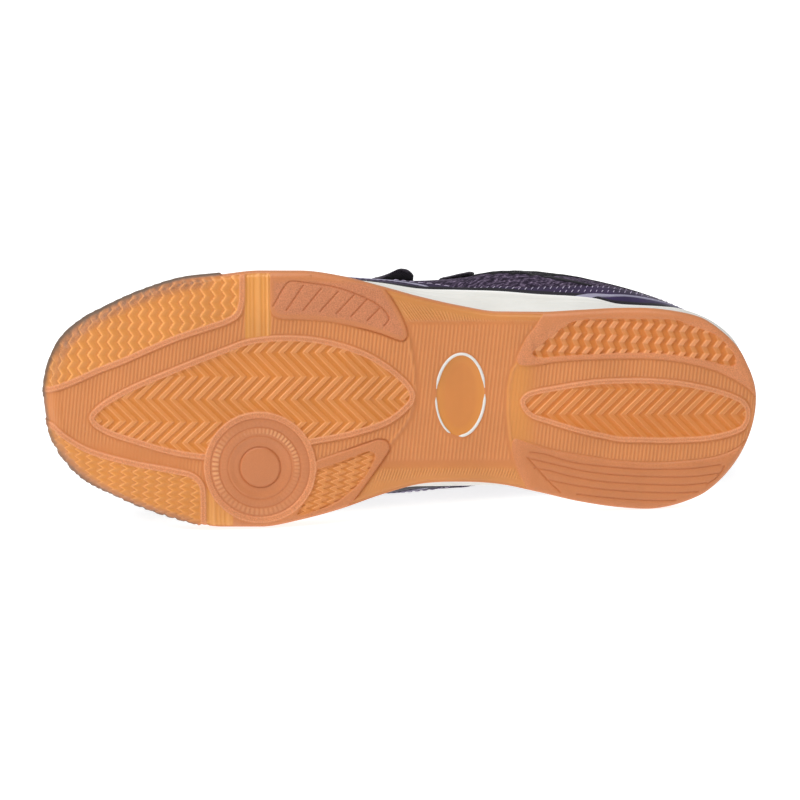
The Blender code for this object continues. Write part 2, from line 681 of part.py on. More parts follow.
def main():
    for old in list(bpy.data.objects):
        bpy.data.objects.remove(old, do_unlink=True)

    parts, tools = collection("indoor_court_shoe"), collection("cutters")
    gum = material("gum_rubber", (0.66, 0.29, 0.10), 0.45)
    foam = material("white_foam", (0.82, 0.82, 0.79), 0.55)
    mesh = material("purple_mesh", (0.085, 0.055, 0.13), 0.8)
    board = material("grey_sock_liner", (0.16, 0.15, 0.18), 0.9)
    pad = material("dark_padding", (0.03, 0.025, 0.04), 0.85)
    webbing = material("black_strap", (0.012, 0.011, 0.014), 0.6)

    pieces = [
        (build_outsole(parts, tools), gum),
        (build_midsole(parts), foam),
        (build_upper(parts), mesh),
        (build_insole(parts), board),
        (build_tongue(parts), pad),
    ]
    pieces += [(build_strap(row, parts), webbing) for row in STRAPS[1:]]

    # the whole shoe lies on its inner side
    stand = bpy.data.objects.new("lying", None)
    parts.objects.link(stand)
    stand.rotation_mode = "XYZ"
    turn = Matrix.Rotation(math.radians(ROLL), 4, "Y") @ Matrix.Rotation(math.radians(-LEAN), 4, "X")
    stand.rotation_euler = turn.to_euler("XYZ")
    stand.location = [value * MM for value in REST]
    for obj, mat in pieces:
        obj.parent = stand
        obj.data.materials.append(mat)
        for face in obj.data.polygons:
            face.use_smooth = True
    for tool in tools.objects:
        tool.parent = stand
        tool.hide_render = True
        tool.display_type = "WIRE"


main()
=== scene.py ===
"""Looks of an indoor court shoe, left foot, lying on its inner side.

Shapes are worked out in the shoe's own axes, in millimetres:
  x  along the shoe, 0 at the tip of the toe, LENGTH at the back of the heel
  v  across it, plus on the outer side of the foot, minus on the inner side
  h  height over the ground of the standing shoe
and are then laid down into the frame, in metres, by place().
"""
import math

import bmesh
import bpy
import numpy as np
from mathutils import Matrix, Vector


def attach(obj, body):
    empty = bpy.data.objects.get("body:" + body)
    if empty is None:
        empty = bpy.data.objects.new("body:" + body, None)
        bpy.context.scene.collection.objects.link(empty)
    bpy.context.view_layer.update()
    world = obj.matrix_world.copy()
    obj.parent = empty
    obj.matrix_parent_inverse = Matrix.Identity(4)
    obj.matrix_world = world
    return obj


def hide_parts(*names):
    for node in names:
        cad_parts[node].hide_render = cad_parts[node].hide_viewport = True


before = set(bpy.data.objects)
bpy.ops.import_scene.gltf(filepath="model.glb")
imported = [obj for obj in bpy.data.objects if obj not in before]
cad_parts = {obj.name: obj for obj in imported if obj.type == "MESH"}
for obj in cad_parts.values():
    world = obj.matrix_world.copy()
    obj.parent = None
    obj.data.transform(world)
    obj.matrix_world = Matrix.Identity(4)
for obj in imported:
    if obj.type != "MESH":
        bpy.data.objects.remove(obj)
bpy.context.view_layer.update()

MM = 0.001

# ---------------------------------------------------------------- named sizes
LENGTH = 275.0
LEAN, ROLL = 8.397, 2.877
REST = (0.077, -51.258, 47.328)
SOLE_THICK, CUP_WALL, GAP = 4.0, 2.2, 0.3
LIP, TRAY = 2.1, 3.5
WALL = 2.2
INSOLE_THICK = 4.0
TUCK = 1.0
STRAP_THICK = 1.6
GRID = 0.30               # tread's own mesh, along and across
OUTSOLE_FACES = 192000    # triangles left in the outsole

# ---------------------------------------------------------------- tables of the form
SOLE = (
    ("x", "outer", "inner", "ground", "edge", "wall"),
    (0.0, 0.0, 0.0, 10.0, 6.5, 17.0),
    (2.9, 14.6, 16.5, 9.0, 6.5, 16.8),
    (6.7, 21.5, 23.1, 7.8, 6.2, 16.4),
    (14.4, 28.8, 31.1, 5.7, 5.5, 15.0),
    (22.1, 33.8, 35.7, 4.2, 4.8, 13.6),
    (37.5, 41.1, 42.3, 2.0, 3.8, 11.2),
    (52.8, 46.1, 46.9, 0.7, 3.0, 9.6),
    (68.2, 48.0, 49.6, 0.1, 2.5, 8.8),
    (83.6, 49.6, 49.6, 0.0, 2.5, 8.4),
    (99.0, 49.6, 46.9, 0.0, 2.5, 8.2),
    (114.3, 47.7, 42.7, 0.0, 2.5, 8.0),
    (129.7, 43.8, 37.3, 0.6, 2.4, 7.8),
    (145.1, 39.6, 33.1, 1.7, 2.2, 7.4),
    (160.4, 36.1, 32.3, 2.4, 2.0, 7.8),
    (175.8, 33.8, 33.1, 2.1, 2.0, 7.5),
    (191.2, 33.8, 36.1, 0.7, 2.2, 6.4),
    (206.6, 34.6, 39.6, 0.0, 2.4, 5.8),
    (221.9, 35.4, 41.9, 0.0, 2.5, 5.6),
    (237.3, 35.0, 42.3, 0.0, 2.5, 5.6),
    (252.7, 31.9, 37.7, 0.1, 2.5, 5.8),
    (260.3, 27.3, 32.3, 0.5, 2.5, 6.2),
    (268.0, 19.6, 23.1, 1.3, 2.5, 7.2),
    (271.9, 12.3, 15.4, 2.0, 2.5, 7.8),
    (275.0, 0.0, 0.0, 2.8, 2.5, 8.4),
)
RIM = (
    ("x", "outer", "inner", "rim"),
    (5.0, 0.0, 0.0, 20.0),
    (10.0, 17.0, 19.0, 19.4),
    (22.0, 29.5, 31.5, 18.2),
    (37.5, 37.0, 38.5, 17.2),
    (52.8, 42.0, 43.0, 16.5),
    (68.0, 44.5, 45.5, 16.0),
    (84.0, 46.0, 45.5, 16.0),
    (99.0, 46.0, 43.0, 16.3),
    (114.0, 45.0, 40.5, 17.2),
    (130.0, 43.6, 38.0, 18.8),
    (145.0, 41.2, 36.5, 20.4),
    (160.0, 40.6, 36.5, 21.6),
    (176.0, 40.0, 36.5, 22.6),
    (191.0, 38.7, 36.6, 23.6),
    (207.0, 37.7, 37.0, 24.8),
    (214.5, 36.7, 37.4, 25.3),
    (222.0, 34.7, 37.6, 25.8),
    (231.0, 34.0, 37.7, 26.2),
    (238.0, 33.6, 37.4, 26.6),
    (246.0, 32.8, 36.4, 27.1),
    (253.0, 30.7, 34.6, 27.6),
    (260.0, 27.4, 30.6, 28.0),
    (268.0, 20.6, 22.2, 28.6),
    (271.6, 14.2, 15.4, 28.8),
    (274.4, 0.0, 0.0, 29.0),
)
FORM = (
    ("x", "outer", "inner", "widest", "top", "shift", "square", "inner_square", "cut"),
    (6.0, 0.0, 0.0, 29.0, 33.0, 0.0, 2.4, 2.4, 90.0),
    (10.0, 17.0, 19.0, 29.0, 40.0, 0.0, 2.4, 2.4, 90.0),
    (16.0, 23.5, 25.5, 29.5, 44.5, -0.5, 2.4, 2.4, 90.0),
    (26.0, 31.0, 33.0, 30.0, 48.0, -1.0, 2.4, 2.4, 90.0),
    (45.0, 39.5, 40.5, 29.5, 51.5, -2.0, 2.3, 2.3, 90.0),
    (70.0, 45.0, 44.5, 29.0, 57.5, -3.5, 2.2, 2.2, 90.0),
    (97.4, 46.4, 43.3, 30.2, 66.9, -4.0, 2.1, 2.1, 90.0),
    (101.0, 46.1, 42.9, 30.5, 68.5, -4.0, 2.1, 2.1, 82.5),
    (107.0, 45.2, 42.3, 31.0, 71.1, -4.0, 2.1, 2.1, 78.5),
    (120.0, 43.4, 41.5, 32.0, 77.0, -4.0, 2.1, 2.1, 73.0),
    (145.0, 42.6, 40.5, 34.0, 88.0, -4.0, 2.0, 2.0, 69.0),
    (163.0, 43.4, 39.5, 36.0, 95.0, -3.0, 2.2, 2.0, 64.0),
    (172.0, 44.8, 38.2, 37.0, 97.0, -2.5, 2.35, 2.05, 57.0),
    (181.0, 45.2, 37.8, 38.0, 97.0, -2.0, 2.55, 2.2, 48.5),
    (195.0, 44.3, 37.4, 40.0, 94.0, -1.0, 2.8, 2.5, 39.5),
    (212.0, 41.6, 35.4, 42.0, 91.0, 0.0, 2.8, 2.5, 35.5),
    (235.0, 35.5, 32.2, 44.0, 94.0, 0.0, 2.6, 2.3, 36.5),
    (252.0, 28.2, 28.0, 46.0, 101.0, 0.0, 2.4, 2.2, 42.0),
    (262.0, 19.8, 20.0, 47.0, 106.0, 0.0, 2.3, 2.2, 43.0),
    (268.0, 10.0, 10.5, 47.5, 108.0, 0.0, 2.2, 2.2, 43.3),
    (270.5, 0.0, 0.0, 48.0, 108.5, 0.0, 2.2, 2.2, 43.3),
)

# ---------------------------------------------------------------- tables of the upper
LOWER = 32.0              # degrees under the widest line, down to the midsole's lip
THROAT = math.pi * 12 / 30
TONGUE = (                # half width of the tongue along the shoe
    ("x", "half"),
    (82.0, 11.0), (90.0, 15.0), (110.0, 18.5), (140.0, 20.5), (172.0, 21.0),
)
STRAPS = (
    ("name", "x", "width", "free", "fixed", "slant", "lift"),
    ("strap_front", 134.6, 17.0, 9.0, 138.0, -3.0, 4.3),
    ("strap_rear", 160.4, 14.5, 11.0, 136.0, -2.0, 0.5),
)
CREASES = (               # soft folds of the upper, from one end to the other; degrees go over the top to the inner side
    ("x1", "a1", "x2", "a2", "depth", "width"),
    (85.0, 18.0, 88.0, 162.0, 0.9, 2.3),
    (93.5, 26.0, 96.0, 154.0, 0.8, 2.1),
    (77.0, 34.0, 79.0, 146.0, 0.5, 2.0),
    (157.0, -13.0, 167.0, 5.0, 0.34, 1.0),
    (163.0, -18.0, 176.0, 6.0, 0.42, 1.2),
    (171.0, -18.0, 184.0, 5.0, 0.40, 1.1),
    (179.0, -18.0, 192.0, 4.0, 0.42, 1.2),
    (187.0, -16.0, 198.0, 3.0, 0.32, 1.0),
    (160.0, 198.0, 176.0, 172.0, 0.42, 1.3),
    (172.0, 198.0, 188.0, 174.0, 0.42, 1.2),
    (184.0, 197.0, 198.0, 176.0, 0.36, 1.1),
    (206.0, 12.0, 214.0, 30.0, 0.35, 1.5),
    (206.0, 168.0, 214.0, 150.0, 0.35, 1.5),
)
# borders of the layers sewn on the upper, as x and degrees over the widest line
TOE_EDGE = (
    ("x", "rise"),
    (6.0, 38.0), (14.0, 37.0), (30.0, 34.0), (52.0, 29.0), (74.0, 22.0), (95.0, 14.0), (112.0, 7.5), (122.0, 4.6),
    (127.0, 2.4), (132.5, -0.6), (137.5, -6.3), (143.0, -12.4), (147.0, -17.2), (148.8, -22.0), (150.2, -26.5),
    (152.6, -31.0),
)
VAMP_EDGE = (
    ("x", "rise"),
    (118.0, 5.5), (124.0, 5.6), (130.0, 5.0), (136.0, 2.6), (139.0, -0.8), (142.2, -4.8), (145.2, -7.4), (148.0, -9.2),
    (150.5, -11.4), (153.0, -14.4), (155.5, -16.5), (158.0, -19.4), (161.5, -24.0),
)
VAMP_DASHES = ((136.0, 0.5), (139.0, -3.5), (142.2, -7.6), (145.2, -9.9), (148.0, -11.5), (150.5, -13.7), (153.0, -16.8),
               (155.5, -18.9), (158.0, -21.9))
QUARTER_EDGE = (
    ("x", "rise"),
    (150.0, -27.0), (155.0, -24.0), (160.0, -21.8), (166.8, -21.6), (171.5, -21.8), (177.0, -21.6), (182.2, -22.1),
    (189.9, -20.4), (195.2, -19.2), (200.4, -17.9), (205.5, -15.2), (210.7, -12.3), (216.3, -7.6), (220.9, -4.8),
    (224.6, -3.2), (229.2, -0.2), (233.5, 2.0), (240.0, 4.3), (246.0, 5.8), (256.0, 8.2), (264.0, 10.6), (270.5, 11.9),
)
QUARTER_DASHES = ((163.0, -22.9), (170.8, -23.3), (175.8, -23.1), (180.8, -23.6), (186.2, -23.0), (191.5, -21.7),
                  (197.0, -20.4), (202.0, -18.8), (207.5, -15.8), (212.5, -12.7), (217.8, -8.2), (220.5, -6.6),
                  (223.0, -5.5), (225.5, -4.3), (229.2, -1.9), (233.5, 0.3), (240.0, 2.6), (246.0, 4.2), (256.0, 6.6),
                  (264.0, 9.0), (270.3, 10.3))
LOWER_DASHES = ((193.5, -26.1), (196.2, -25.1), (198.5, -24.2), (201.0, -23.2), (203.8, -22.2), (209.0, -20.3),
                (214.0, -17.3), (218.8, -14.0), (224.0, -10.2), (230.0, -6.4), (237.0, -2.8), (244.0, 0.8))
BAND_HIGH = (
    ("x", "rise"),
    (202.5, -27.5), (205.5, -25.4), (210.3, -22.4), (213.8, -20.4), (219.0, -17.6), (224.5, -14.5), (229.5, -12.2),
    (233.8, -10.0), (240.0, -6.5), (246.7, -0.5), (252.0, 3.2), (260.0, 6.3), (270.5, 8.3),
)
BAND_LOW = (
    ("x", "rise"),
    (202.5, -32.5), (208.0, -31.0), (213.0, -25.9), (218.5, -21.6), (222.8, -18.6), (227.0, -16.4), (231.0, -14.7),
    (235.0, -13.2), (241.2, -9.6), (247.0, -3.5), (252.0, 0.6), (260.0, 3.8), (270.5, 5.7),
)
COLLAR_EDGE = (
    ("x", "rise"),
    (165.0, 5.5), (170.0, 3.0), (174.0, 0.8), (179.0, -1.0), (186.0, -2.2), (191.0, -3.4), (194.5, -4.4),
    (197.0, -3.0), (200.0, 0.8), (203.5, 3.8), (209.0, 6.4), (216.0, 8.2), (224.0, 9.2), (234.0, 10.0), (243.0, 10.8),
    (249.0, 11.6), (256.0, 12.8), (264.0, 14.6), (270.5, 16.0),
)
TRIM_LINE = (
    ("x", "rise"),
    (184.0, 2.0), (188.5, -0.5), (192.0, -2.6), (195.5, -4.9), (201.0, -7.4), (206.7, -8.8), (213.5, -10.2),
)
# the strip along this line is black to stand for the shadow where the upper meets the midsole's lip
LIP_SHADE_EDGE = (             # dark strip along the midsole's lip
    ("x", "rise"),
    (100.0, -32.0), (107.0, -27.0), (112.0, -22.0), (118.0, -15.5), (124.0, -12.0), (130.0, -14.4), (136.0, -17.4),
    (142.0, -19.8), (150.0, -21.4), (160.0, -23.2), (170.0, -25.2), (180.0, -26.2), (190.0, -26.5), (200.0, -26.3),
    (210.0, -25.7), (220.0, -25.6), (230.0, -23.9), (240.0, -17.8), (246.0, -13.5), (256.0, -11.0), (264.0, -10.0),
    (270.5, -10.0),
)

# ---------------------------------------------------------------- tables of the tread
# outlines run round a panel; "x" along and "v" across the shoe
CENTRE = (
    ("x", "v"),
    (17.3, -7.1), (20.2, -3.1), (30.6, 3.7), (50.2, 12.5), (69.8, 20.4), (79.6, 23.8), (94.3, 25.2),
    (108.9, 23.8), (123.6, 19.3), (133.5, 13.5), (141.2, 6.5), (143.3, 2.7), (143.0, -0.6), (141.2, -3.1),
    (133.5, -9.1), (118.8, -14.0), (104.0, -16.9), (90.0, -20.0), (76.0, -23.5), (64.8, -23.3), (50.2, -21.4),
    (35.5, -17.4), (23.6, -13.5), (18.3, -10.0),
)
TOE_OUTER = (          # middle of the raised rim that bounds the toe's outer herringbone
    ("x", "v"),
    (-8.0, 2.2), (0.6, 3.1), (6.7, 4.6), (22.1, 11.6), (29.8, 14.6), (40.9, 19.6), (51.7, 24.2), (63.2, 28.1),
    (71.3, 30.9), (75.3, 33.6), (76.7, 38.0), (77.0, 44.0), (77.1, 62.0),
)
TOE_INNER = (
    ("x", "v"),
    (-8.0, -9.0), (1.3, -11.5), (4.0, -13.1), (15.9, -20.0), (33.6, -24.8), (50.2, -27.7), (57.6, -29.6),
    (60.8, -33.0), (61.4, -38.0), (61.4, -44.0), (60.9, -64.0),
)
OUTER_PANEL = (
    ("x", "v"),
    (87.8, 64.0), (87.8, 50.0), (87.7, 42.0), (87.9, 35.4), (89.2, 33.0), (91.6, 32.0), (99.3, 31.7), (111.3, 30.7),
    (122.8, 28.1), (130.9, 25.7), (136.4, 23.6), (138.6, 23.2), (140.2, 24.6), (140.2, 26.8), (137.4, 34.0),
    (132.4, 42.3), (129.0, 48.0), (122.0, 64.0),
)
OUTER_LOOP = (
    ("x", "v"),
    (88.9, 36.7), (94.5, 45.6), (96.0, 46.2), (102.0, 45.6), (111.3, 44.2), (117.5, 42.5), (122.8, 40.4),
    (127.2, 38.2), (130.6, 35.8), (132.8, 33.2), (133.3, 31.4), (131.5, 29.0),
)
OUTER_CUTS = (         # short slanting grooves: upper and lower end
    ("x", "v", "x2", "v2"),
    (100.5, 44.6, 94.0, 35.0), (107.4, 43.4, 100.5, 35.0), (113.9, 42.3, 107.0, 34.6), (120.1, 41.1, 113.2, 33.8),
    (124.9, 39.2, 118.9, 32.7), (129.7, 35.7, 125.1, 31.1),
)
INNER_PANEL = (        # raised panel round the pivot's lower side and the inner rear herringbone
    ("x", "v"),
    (73.0, -64.0), (73.0, -46.0), (72.6, -36.0), (80.0, -28.0), (96.0, -25.8), (103.7, -24.1), (114.4, -20.4),
    (125.2, -16.6), (129.8, -15.4), (132.6, -16.2), (133.6, -18.4), (131.4, -22.4), (126.6, -29.4),
    (119.8, -38.7), (112.0, -48.0), (104.0, -64.0),
)
INNER_HERRING = (
    ("x", "v"),
    (97.9, -44.6), (100.4, -39.8), (104.0, -33.6), (105.0, -27.6), (112.3, -24.6), (119.8, -21.8), (126.0, -19.8),
    (127.8, -21.2), (125.2, -27.9), (119.8, -34.4), (111.8, -40.3), (103.7, -43.5),
)
HEEL_CENTRE = (
    ("x", "v"),
    (183.8, -0.3), (186.1, 2.7), (190.2, 4.2), (196.4, 5.4), (204.6, 6.9), (213.6, 8.1), (223.8, 8.6), (232.0, 8.6),
    (239.1, 8.2), (245.9, 7.5), (252.8, 6.2), (259.7, 4.5), (266.5, 2.1), (270.6, -0.3), (272.6, -4.0),
    (272.4, -8.0), (270.6, -11.2), (266.5, -13.3), (259.7, -15.0), (252.8, -15.9), (245.9, -16.2), (239.1, -16.4),
    (232.2, -16.2), (221.9, -15.9), (217.0, -14.9), (206.7, -12.6), (199.8, -10.6), (193.0, -8.5), (188.4, -7.0),
    (185.3, -4.4),
)
HEEL_OUTER = (         # raised panel of the heel's outer side
    ("x", "v"),
    (196.0, 64.0), (193.4, 36.0), (189.5, 28.5), (186.1, 24.0), (183.7, 19.2), (182.4, 15.6), (183.6, 13.8),
    (189.5, 13.9), (196.4, 15.1), (204.6, 15.9), (213.5, 16.3), (221.0, 16.5), (232.2, 16.5), (242.5, 15.6),
    (250.7, 14.1), (258.0, 12.0), (264.8, 8.9), (270.0, 5.8), (274.0, 2.7), (284.0, -4.0), (300.0, 64.0),
)
HEEL_HERRING = (
    ("x", "v"),
    (188.5, 18.2), (193.0, 22.6), (198.5, 27.1), (202.6, 29.9), (206.7, 31.1), (213.5, 31.6), (228.0, 31.7),
    (235.6, 31.6), (243.8, 31.1), (248.7, 29.2), (254.9, 27.1), (259.7, 24.7), (264.1, 20.3), (266.4, 16.4),
    (266.2, 13.6), (263.1, 13.6), (256.2, 15.4), (249.4, 16.8), (242.5, 17.8), (232.2, 18.5), (221.0, 18.4),
    (210.1, 17.8), (199.8, 17.2), (190.6, 16.6),
)
HEEL_INNER = (         # raised panel of the heel's inner side
    ("x", "v"),
    (181.5, -15.5), (187.1, -16.7), (193.7, -18.8), (199.8, -20.2), (210.1, -21.9), (221.9, -23.7), (235.7, -24.4),
    (249.4, -23.6), (259.7, -22.1), (266.5, -19.6), (271.3, -16.6), (278.0, -12.0), (300.0, -64.0), (192.0, -64.0),
    (186.1, -33.6), (183.7, -29.1), (181.7, -23.6), (180.7, -18.6),
)
HEEL_LINES = (         # long shallow grooves of the heel's inner side, one row each
    ((187.8, -20.2), (193.7, -21.0), (199.8, -22.9), (206.7, -24.5), (217.0, -25.7), (229.6, -26.7), (239.8, -26.8),
     (250.8, -26.4), (261.4, -25.0)),
    ((186.8, -22.5), (193.7, -24.1), (199.8, -25.5), (206.7, -27.1), (217.0, -28.6), (229.6, -29.5), (241.1, -29.8),
     (251.1, -29.6), (260.4, -28.4)),
    ((189.5, -26.4), (195.0, -27.3), (199.8, -28.6), (206.7, -30.1), (215.3, -31.5), (229.6, -32.5), (240.8, -32.9),
     (249.4, -32.8), (256.2, -32.1)),
    ((194.0, -30.9), (199.8, -32.0), (206.7, -33.3), (217.0, -34.7), (229.6, -35.6), (237.4, -35.9), (245.9, -36.0),
     (252.8, -35.5)),
    ((206.0, -36.5), (213.5, -37.4), (220.4, -38.1), (229.6, -38.8), (239.1, -39.1), (244.2, -38.8)),
    ((186.7, -22.2), (190.6, -26.6), (194.6, -31.0), (199.5, -35.8)),
    ((262.8, -25.6), (261.6, -27.8), (259.7, -30.1), (256.2, -32.6)),
)
FORE_ARC = (           # where the forefoot's plate ends and the shank begins
    ("v", "x"),
    (-64.0, 92.0), (-50.0, 108.0), (-44.0, 116.0), (-38.7, 120.4), (-34.6, 122.8), (-26.0, 128.9), (-18.1, 133.5),
    (-7.5, 141.1), (1.2, 143.6), (7.3, 143.8), (14.0, 143.2), (23.1, 141.6), (30.0, 139.6), (42.3, 133.0),
    (50.0, 128.0), (64.0, 118.0),
)
HEEL_ARC = (
    ("v", "x"),
    (-64.0, 196.0), (-33.6, 186.1), (-29.1, 183.7), (-23.6, 181.7), (-16.8, 179.9), (-7.7, 178.8), (-2.7, 178.6),
    (4.1, 178.7), (7.5, 179.2), (11.7, 180.3), (14.4, 182.0), (19.2, 183.7), (24.0, 186.1), (28.5, 189.5),
    (33.4, 193.1), (64.0, 214.0),
)
PIVOT = {"x": 83.5, "v": -26.1, "outer": 21.7, "ring": 19.2, "dish": 12.2, "stud": 7.7}
WINDOW = {"x": 160.8, "v": 1.75, "along": 9.45, "across": 16.0, "turn": -2.0}

# colours of the sole's rubber, sRGB 0 to 255
# Some of these are painted light: the light line colours for ridges, rim edges, toe crests and flex ribs, the lit heel
# bar and the pivot's cells are painted highlights, and shade is painted shade.
GUM = {
    "band": (201, 125, 70), "rib": (213, 140, 84), "rim": (206, 132, 86), "rim_line": (226, 157, 112),
    "groove": (206, 125, 52), "bar": (214, 139, 78), "line": (243, 168, 103), "shade": (192, 108, 42),
    "toe_groove": (211, 137, 66), "toe_bar_highlight": (246, 170, 96),
    "flex": (214, 143, 68), "flex_rib_highlight": (232, 164, 96), "sand": (196, 125, 86), "smooth": (199, 126, 78),
    "shank": (200, 124, 70), "edge": (208, 144, 76), "heel_bar_lit": (220, 146, 96), "heel_slant": (206, 130, 70),
    "heel_groove": (207, 121, 50), "heel_inner": (195, 122, 74), "amber": (212, 138, 66), "amber_deep": (198, 119, 66),
    "worn": (170, 112, 78), "grey_brown": (92, 76, 64), "deep": (186, 98, 40),
    "pivot": (194, 121, 76), "cells": (221, 156, 106),
}


# ---------------------------------------------------------------- reading tables
def between(xs, ys, at, soft=True):
    """Values at places between the rows, on a curve through them."""
    xs, ys, at = np.asarray(xs, float), np.asarray(ys, float), np.asarray(at, float)
    i = np.clip(np.searchsorted(xs, at, side="right") - 1, 0, len(xs) - 2)
    step = xs[i + 1] - xs[i]
    t = np.clip((at - xs[i]) / step, 0.0, 1.0)
    if not soft:
        return ys[i] * (1 - t) + ys[i + 1] * t
    slopes = np.zeros(len(xs))
    for k in range(len(xs)):
        lo, hi = max(k - 1, 0), min(k + 1, len(xs) - 1)
        level = ys[k] == ys[lo] != ys[hi] or ys[k] == ys[hi] != ys[lo]
        if not level or (ys[k] == 0.0 and k in (0, len(xs) - 1)):
            slopes[k] = (ys[hi] - ys[lo]) / (xs[hi] - xs[lo])
    a, b = slopes[i] * step, slopes[i + 1] * step
    return ((2 * t ** 3 - 3 * t ** 2 + 1) * ys[i] + (t ** 3 - 2 * t ** 2 + t) * a
            + (3 * t ** 2 - 2 * t ** 3) * ys[i + 1] + (t ** 3 - t ** 2) * b)


class Table:
    """Rows under named columns; keys along x become angles, so the ends come out round."""

    def __init__(self, rows, start=None, end=None):
        self.names = rows[0]
        self.columns = {name: np.array([row[i] for row in rows[1:]], float) for i, name in enumerate(rows[0])}
        self.start, self.end = start, end
        first = self.columns[rows[0][0]]
        self.keys = first if start is None else self.angle(first)

    def angle(self, x):
        share = (np.asarray(x, float) - self.start) / (self.end - self.start)
        return np.arccos(np.clip(1 - 2 * share, -1.0, 1.0))

    def x(self, angle):
        return self.start + (self.end - self.start) * (1 - np.cos(angle)) / 2

    def read(self, name, key, soft=True):
        return between(self.keys, self.columns[name], key, soft)

    def at_x(self, name, x):
        return self.read(name, self.angle(x))


SOLE_T = Table(SOLE, 0.0, LENGTH)
RIM_T = Table(RIM, 5.0, 274.4)
FORM_T = Table(FORM, 6.0, 270.5)


def ground(x):
    return SOLE_T.at_x("ground", np.clip(x, 0.0, LENGTH))


def wall_top(x):
    return SOLE_T.at_x("wall", np.clip(x, 0.0, LENGTH))


def rim(x):
    return RIM_T.at_x("rim", np.clip(x, 5.0, 274.4))


def plan(table, turn):
    """Points of a loop: turn 0 at the toe, pi at the heel, outer side first."""
    turn = np.asarray(turn, float) % (2 * math.pi)
    outer = turn <= math.pi
    key = np.where(outer, turn, 2 * math.pi - turn)
    v = np.where(outer, table.read("outer", key), -table.read("inner", key))
    return np.stack([table.x(key), v], -1)


class Loop:
    """A plan loop at even steps or at given turns, with its outward directions."""

    def __init__(self, table, count, turn=None):
        if turn is None:
            fine = np.linspace(0, 2 * math.pi, 12001)
            at = plan(table, fine)
            far = np.concatenate([[0], np.cumsum(np.linalg.norm(np.diff(at, axis=0), axis=1))])
            turn = np.interp(np.arange(count) * far[-1] / count, far, fine)
        self.turn = turn
        self.key = np.where(self.turn <= math.pi, self.turn, 2 * math.pi - self.turn)
        self.point = plan(table, self.turn)
        small = 0.004
        along = plan(table, self.turn + small) - plan(table, self.turn - small)
        along /= np.linalg.norm(along, axis=1, keepdims=True)
        self.out = np.stack([-along[:, 1], along[:, 0]], 1)
        self.table = table

    def inset(self, distance):
        distance = np.broadcast_to(np.asarray(distance, float), (len(self.point),))
        return self.point - self.out * distance[:, None]


def smooth(t):
    t = np.clip(t, 0.0, 1.0)
    return t * t * (3 - 2 * t)


def ramp(s, soft):
    """0 well below zero, 1 well above it."""
    return smooth((np.asarray(s) + soft) / (2 * soft))


def curve(rows, closed=True, step=0.8):
    """A smooth line through the rows, at about even steps."""
    p = np.array(rows, float)
    if closed:
        p = np.vstack([p[-1], p, p[0], p[1]])
    else:
        p = np.vstack([2 * p[0] - p[1], p, 2 * p[-1] - p[-2]])
    out = []
    for i in range(1, len(p) - 2):
        count = max(2, int(math.ceil(np.linalg.norm(p[i + 1] - p[i]) / step)))
        knots = [0.0]
        for a in (i - 1, i, i + 1):
            knots.append(knots[-1] + max(1e-6, np.linalg.norm(p[a + 1] - p[a])) ** 0.5)
        t0, t1, t2, t3 = knots
        for t in np.linspace(t1, t2, count, endpoint=False):
            a1 = (t1 - t) / (t1 - t0) * p[i - 1] + (t - t0) / (t1 - t0) * p[i]
            a2 = (t2 - t) / (t2 - t1) * p[i] + (t - t1) / (t2 - t1) * p[i + 1]
            a3 = (t3 - t) / (t3 - t2) * p[i + 1] + (t - t2) / (t3 - t2) * p[i + 2]
            b1 = (t2 - t) / (t2 - t0) * a1 + (t - t0) / (t2 - t0) * a2
            b2 = (t3 - t) / (t3 - t1) * a2 + (t - t1) / (t3 - t1) * a3
            out.append((t2 - t) / (t2 - t1) * b1 + (t - t1) / (t2 - t1) * b2)
    if not closed:
        out.append(p[-2])
    return np.array(out)


def distance_to(x, v, line, closed=False):
    """Distance from each point to a line."""
    best = np.full(x.shape, 1e9, np.float32)
    ends = np.roll(line, -1, 0) if closed else line[1:]
    for (ax, ay), (bx, by) in zip(line if closed else line[:-1], ends):
        dx, dy = bx - ax, by - ay
        t = np.clip(((x - ax) * dx + (v - ay) * dy) / (dx * dx + dy * dy + 1e-12), 0, 1)
        np.minimum(best, (x - ax - t * dx) ** 2 + (v - ay - t * dy) ** 2, out=best)
    return np.sqrt(best)


def within(x, v, line):
    """True for points inside a closed line."""
    found = np.zeros(x.shape, bool)
    for (ax, ay), (bx, by) in zip(line, np.roll(line, -1, 0)):
        if ay == by:
            continue
        crosses = (ay > v) != (by > v)
        found ^= crosses & (x < (bx - ax) * (v - ay) / (by - ay) + ax)
    return found


def near(x, v, line, margin):
    low, high = line.min(0) - margin, line.max(0) + margin
    return (x > low[0]) & (x < high[0]) & (v > low[1]) & (v < high[1])


def depth_in(x, v, line, margin=4.0):
    """How far inside a closed line a point lies; minus outside, down to the margin."""
    out = np.full(x.shape, -margin, np.float32)
    k = np.nonzero(near(x, v, line, margin))[0]
    d = distance_to(x[k], v[k], line, True)
    out[k] = np.where(within(x[k], v[k], line), d, -d)
    return np.maximum(out, -margin)


def off_line(x, v, line, margin=3.0):
    out = np.full(x.shape, margin, np.float32)
    k = np.nonzero(near(x, v, line, margin))[0]
    out[k] = np.minimum(distance_to(x[k], v[k], line), margin)
    return out


# ---------------------------------------------------------------- placing
def lying():
    return (Matrix.Translation(Vector(REST) * MM) @ Matrix.Rotation(math.radians(ROLL), 4, "Y")
            @ Matrix.Rotation(math.radians(-LEAN), 4, "X"))


LYING = np.array(lying(), float)


def place(points):
    """Shoe coordinates in mm, as x, v, h, to frame coordinates in metres."""
    p = np.asarray(points, float)
    local = np.stack([p[..., 0] - LENGTH / 2, p[..., 2], p[..., 1]], -1) * MM
    return local @ LYING[:3, :3].T + LYING[:3, 3]


def linear(colour):
    c = np.asarray(colour, float) / 255.0
    return np.where(c <= 0.04045, c / 12.92, ((c + 0.055) / 1.055) ** 2.4)


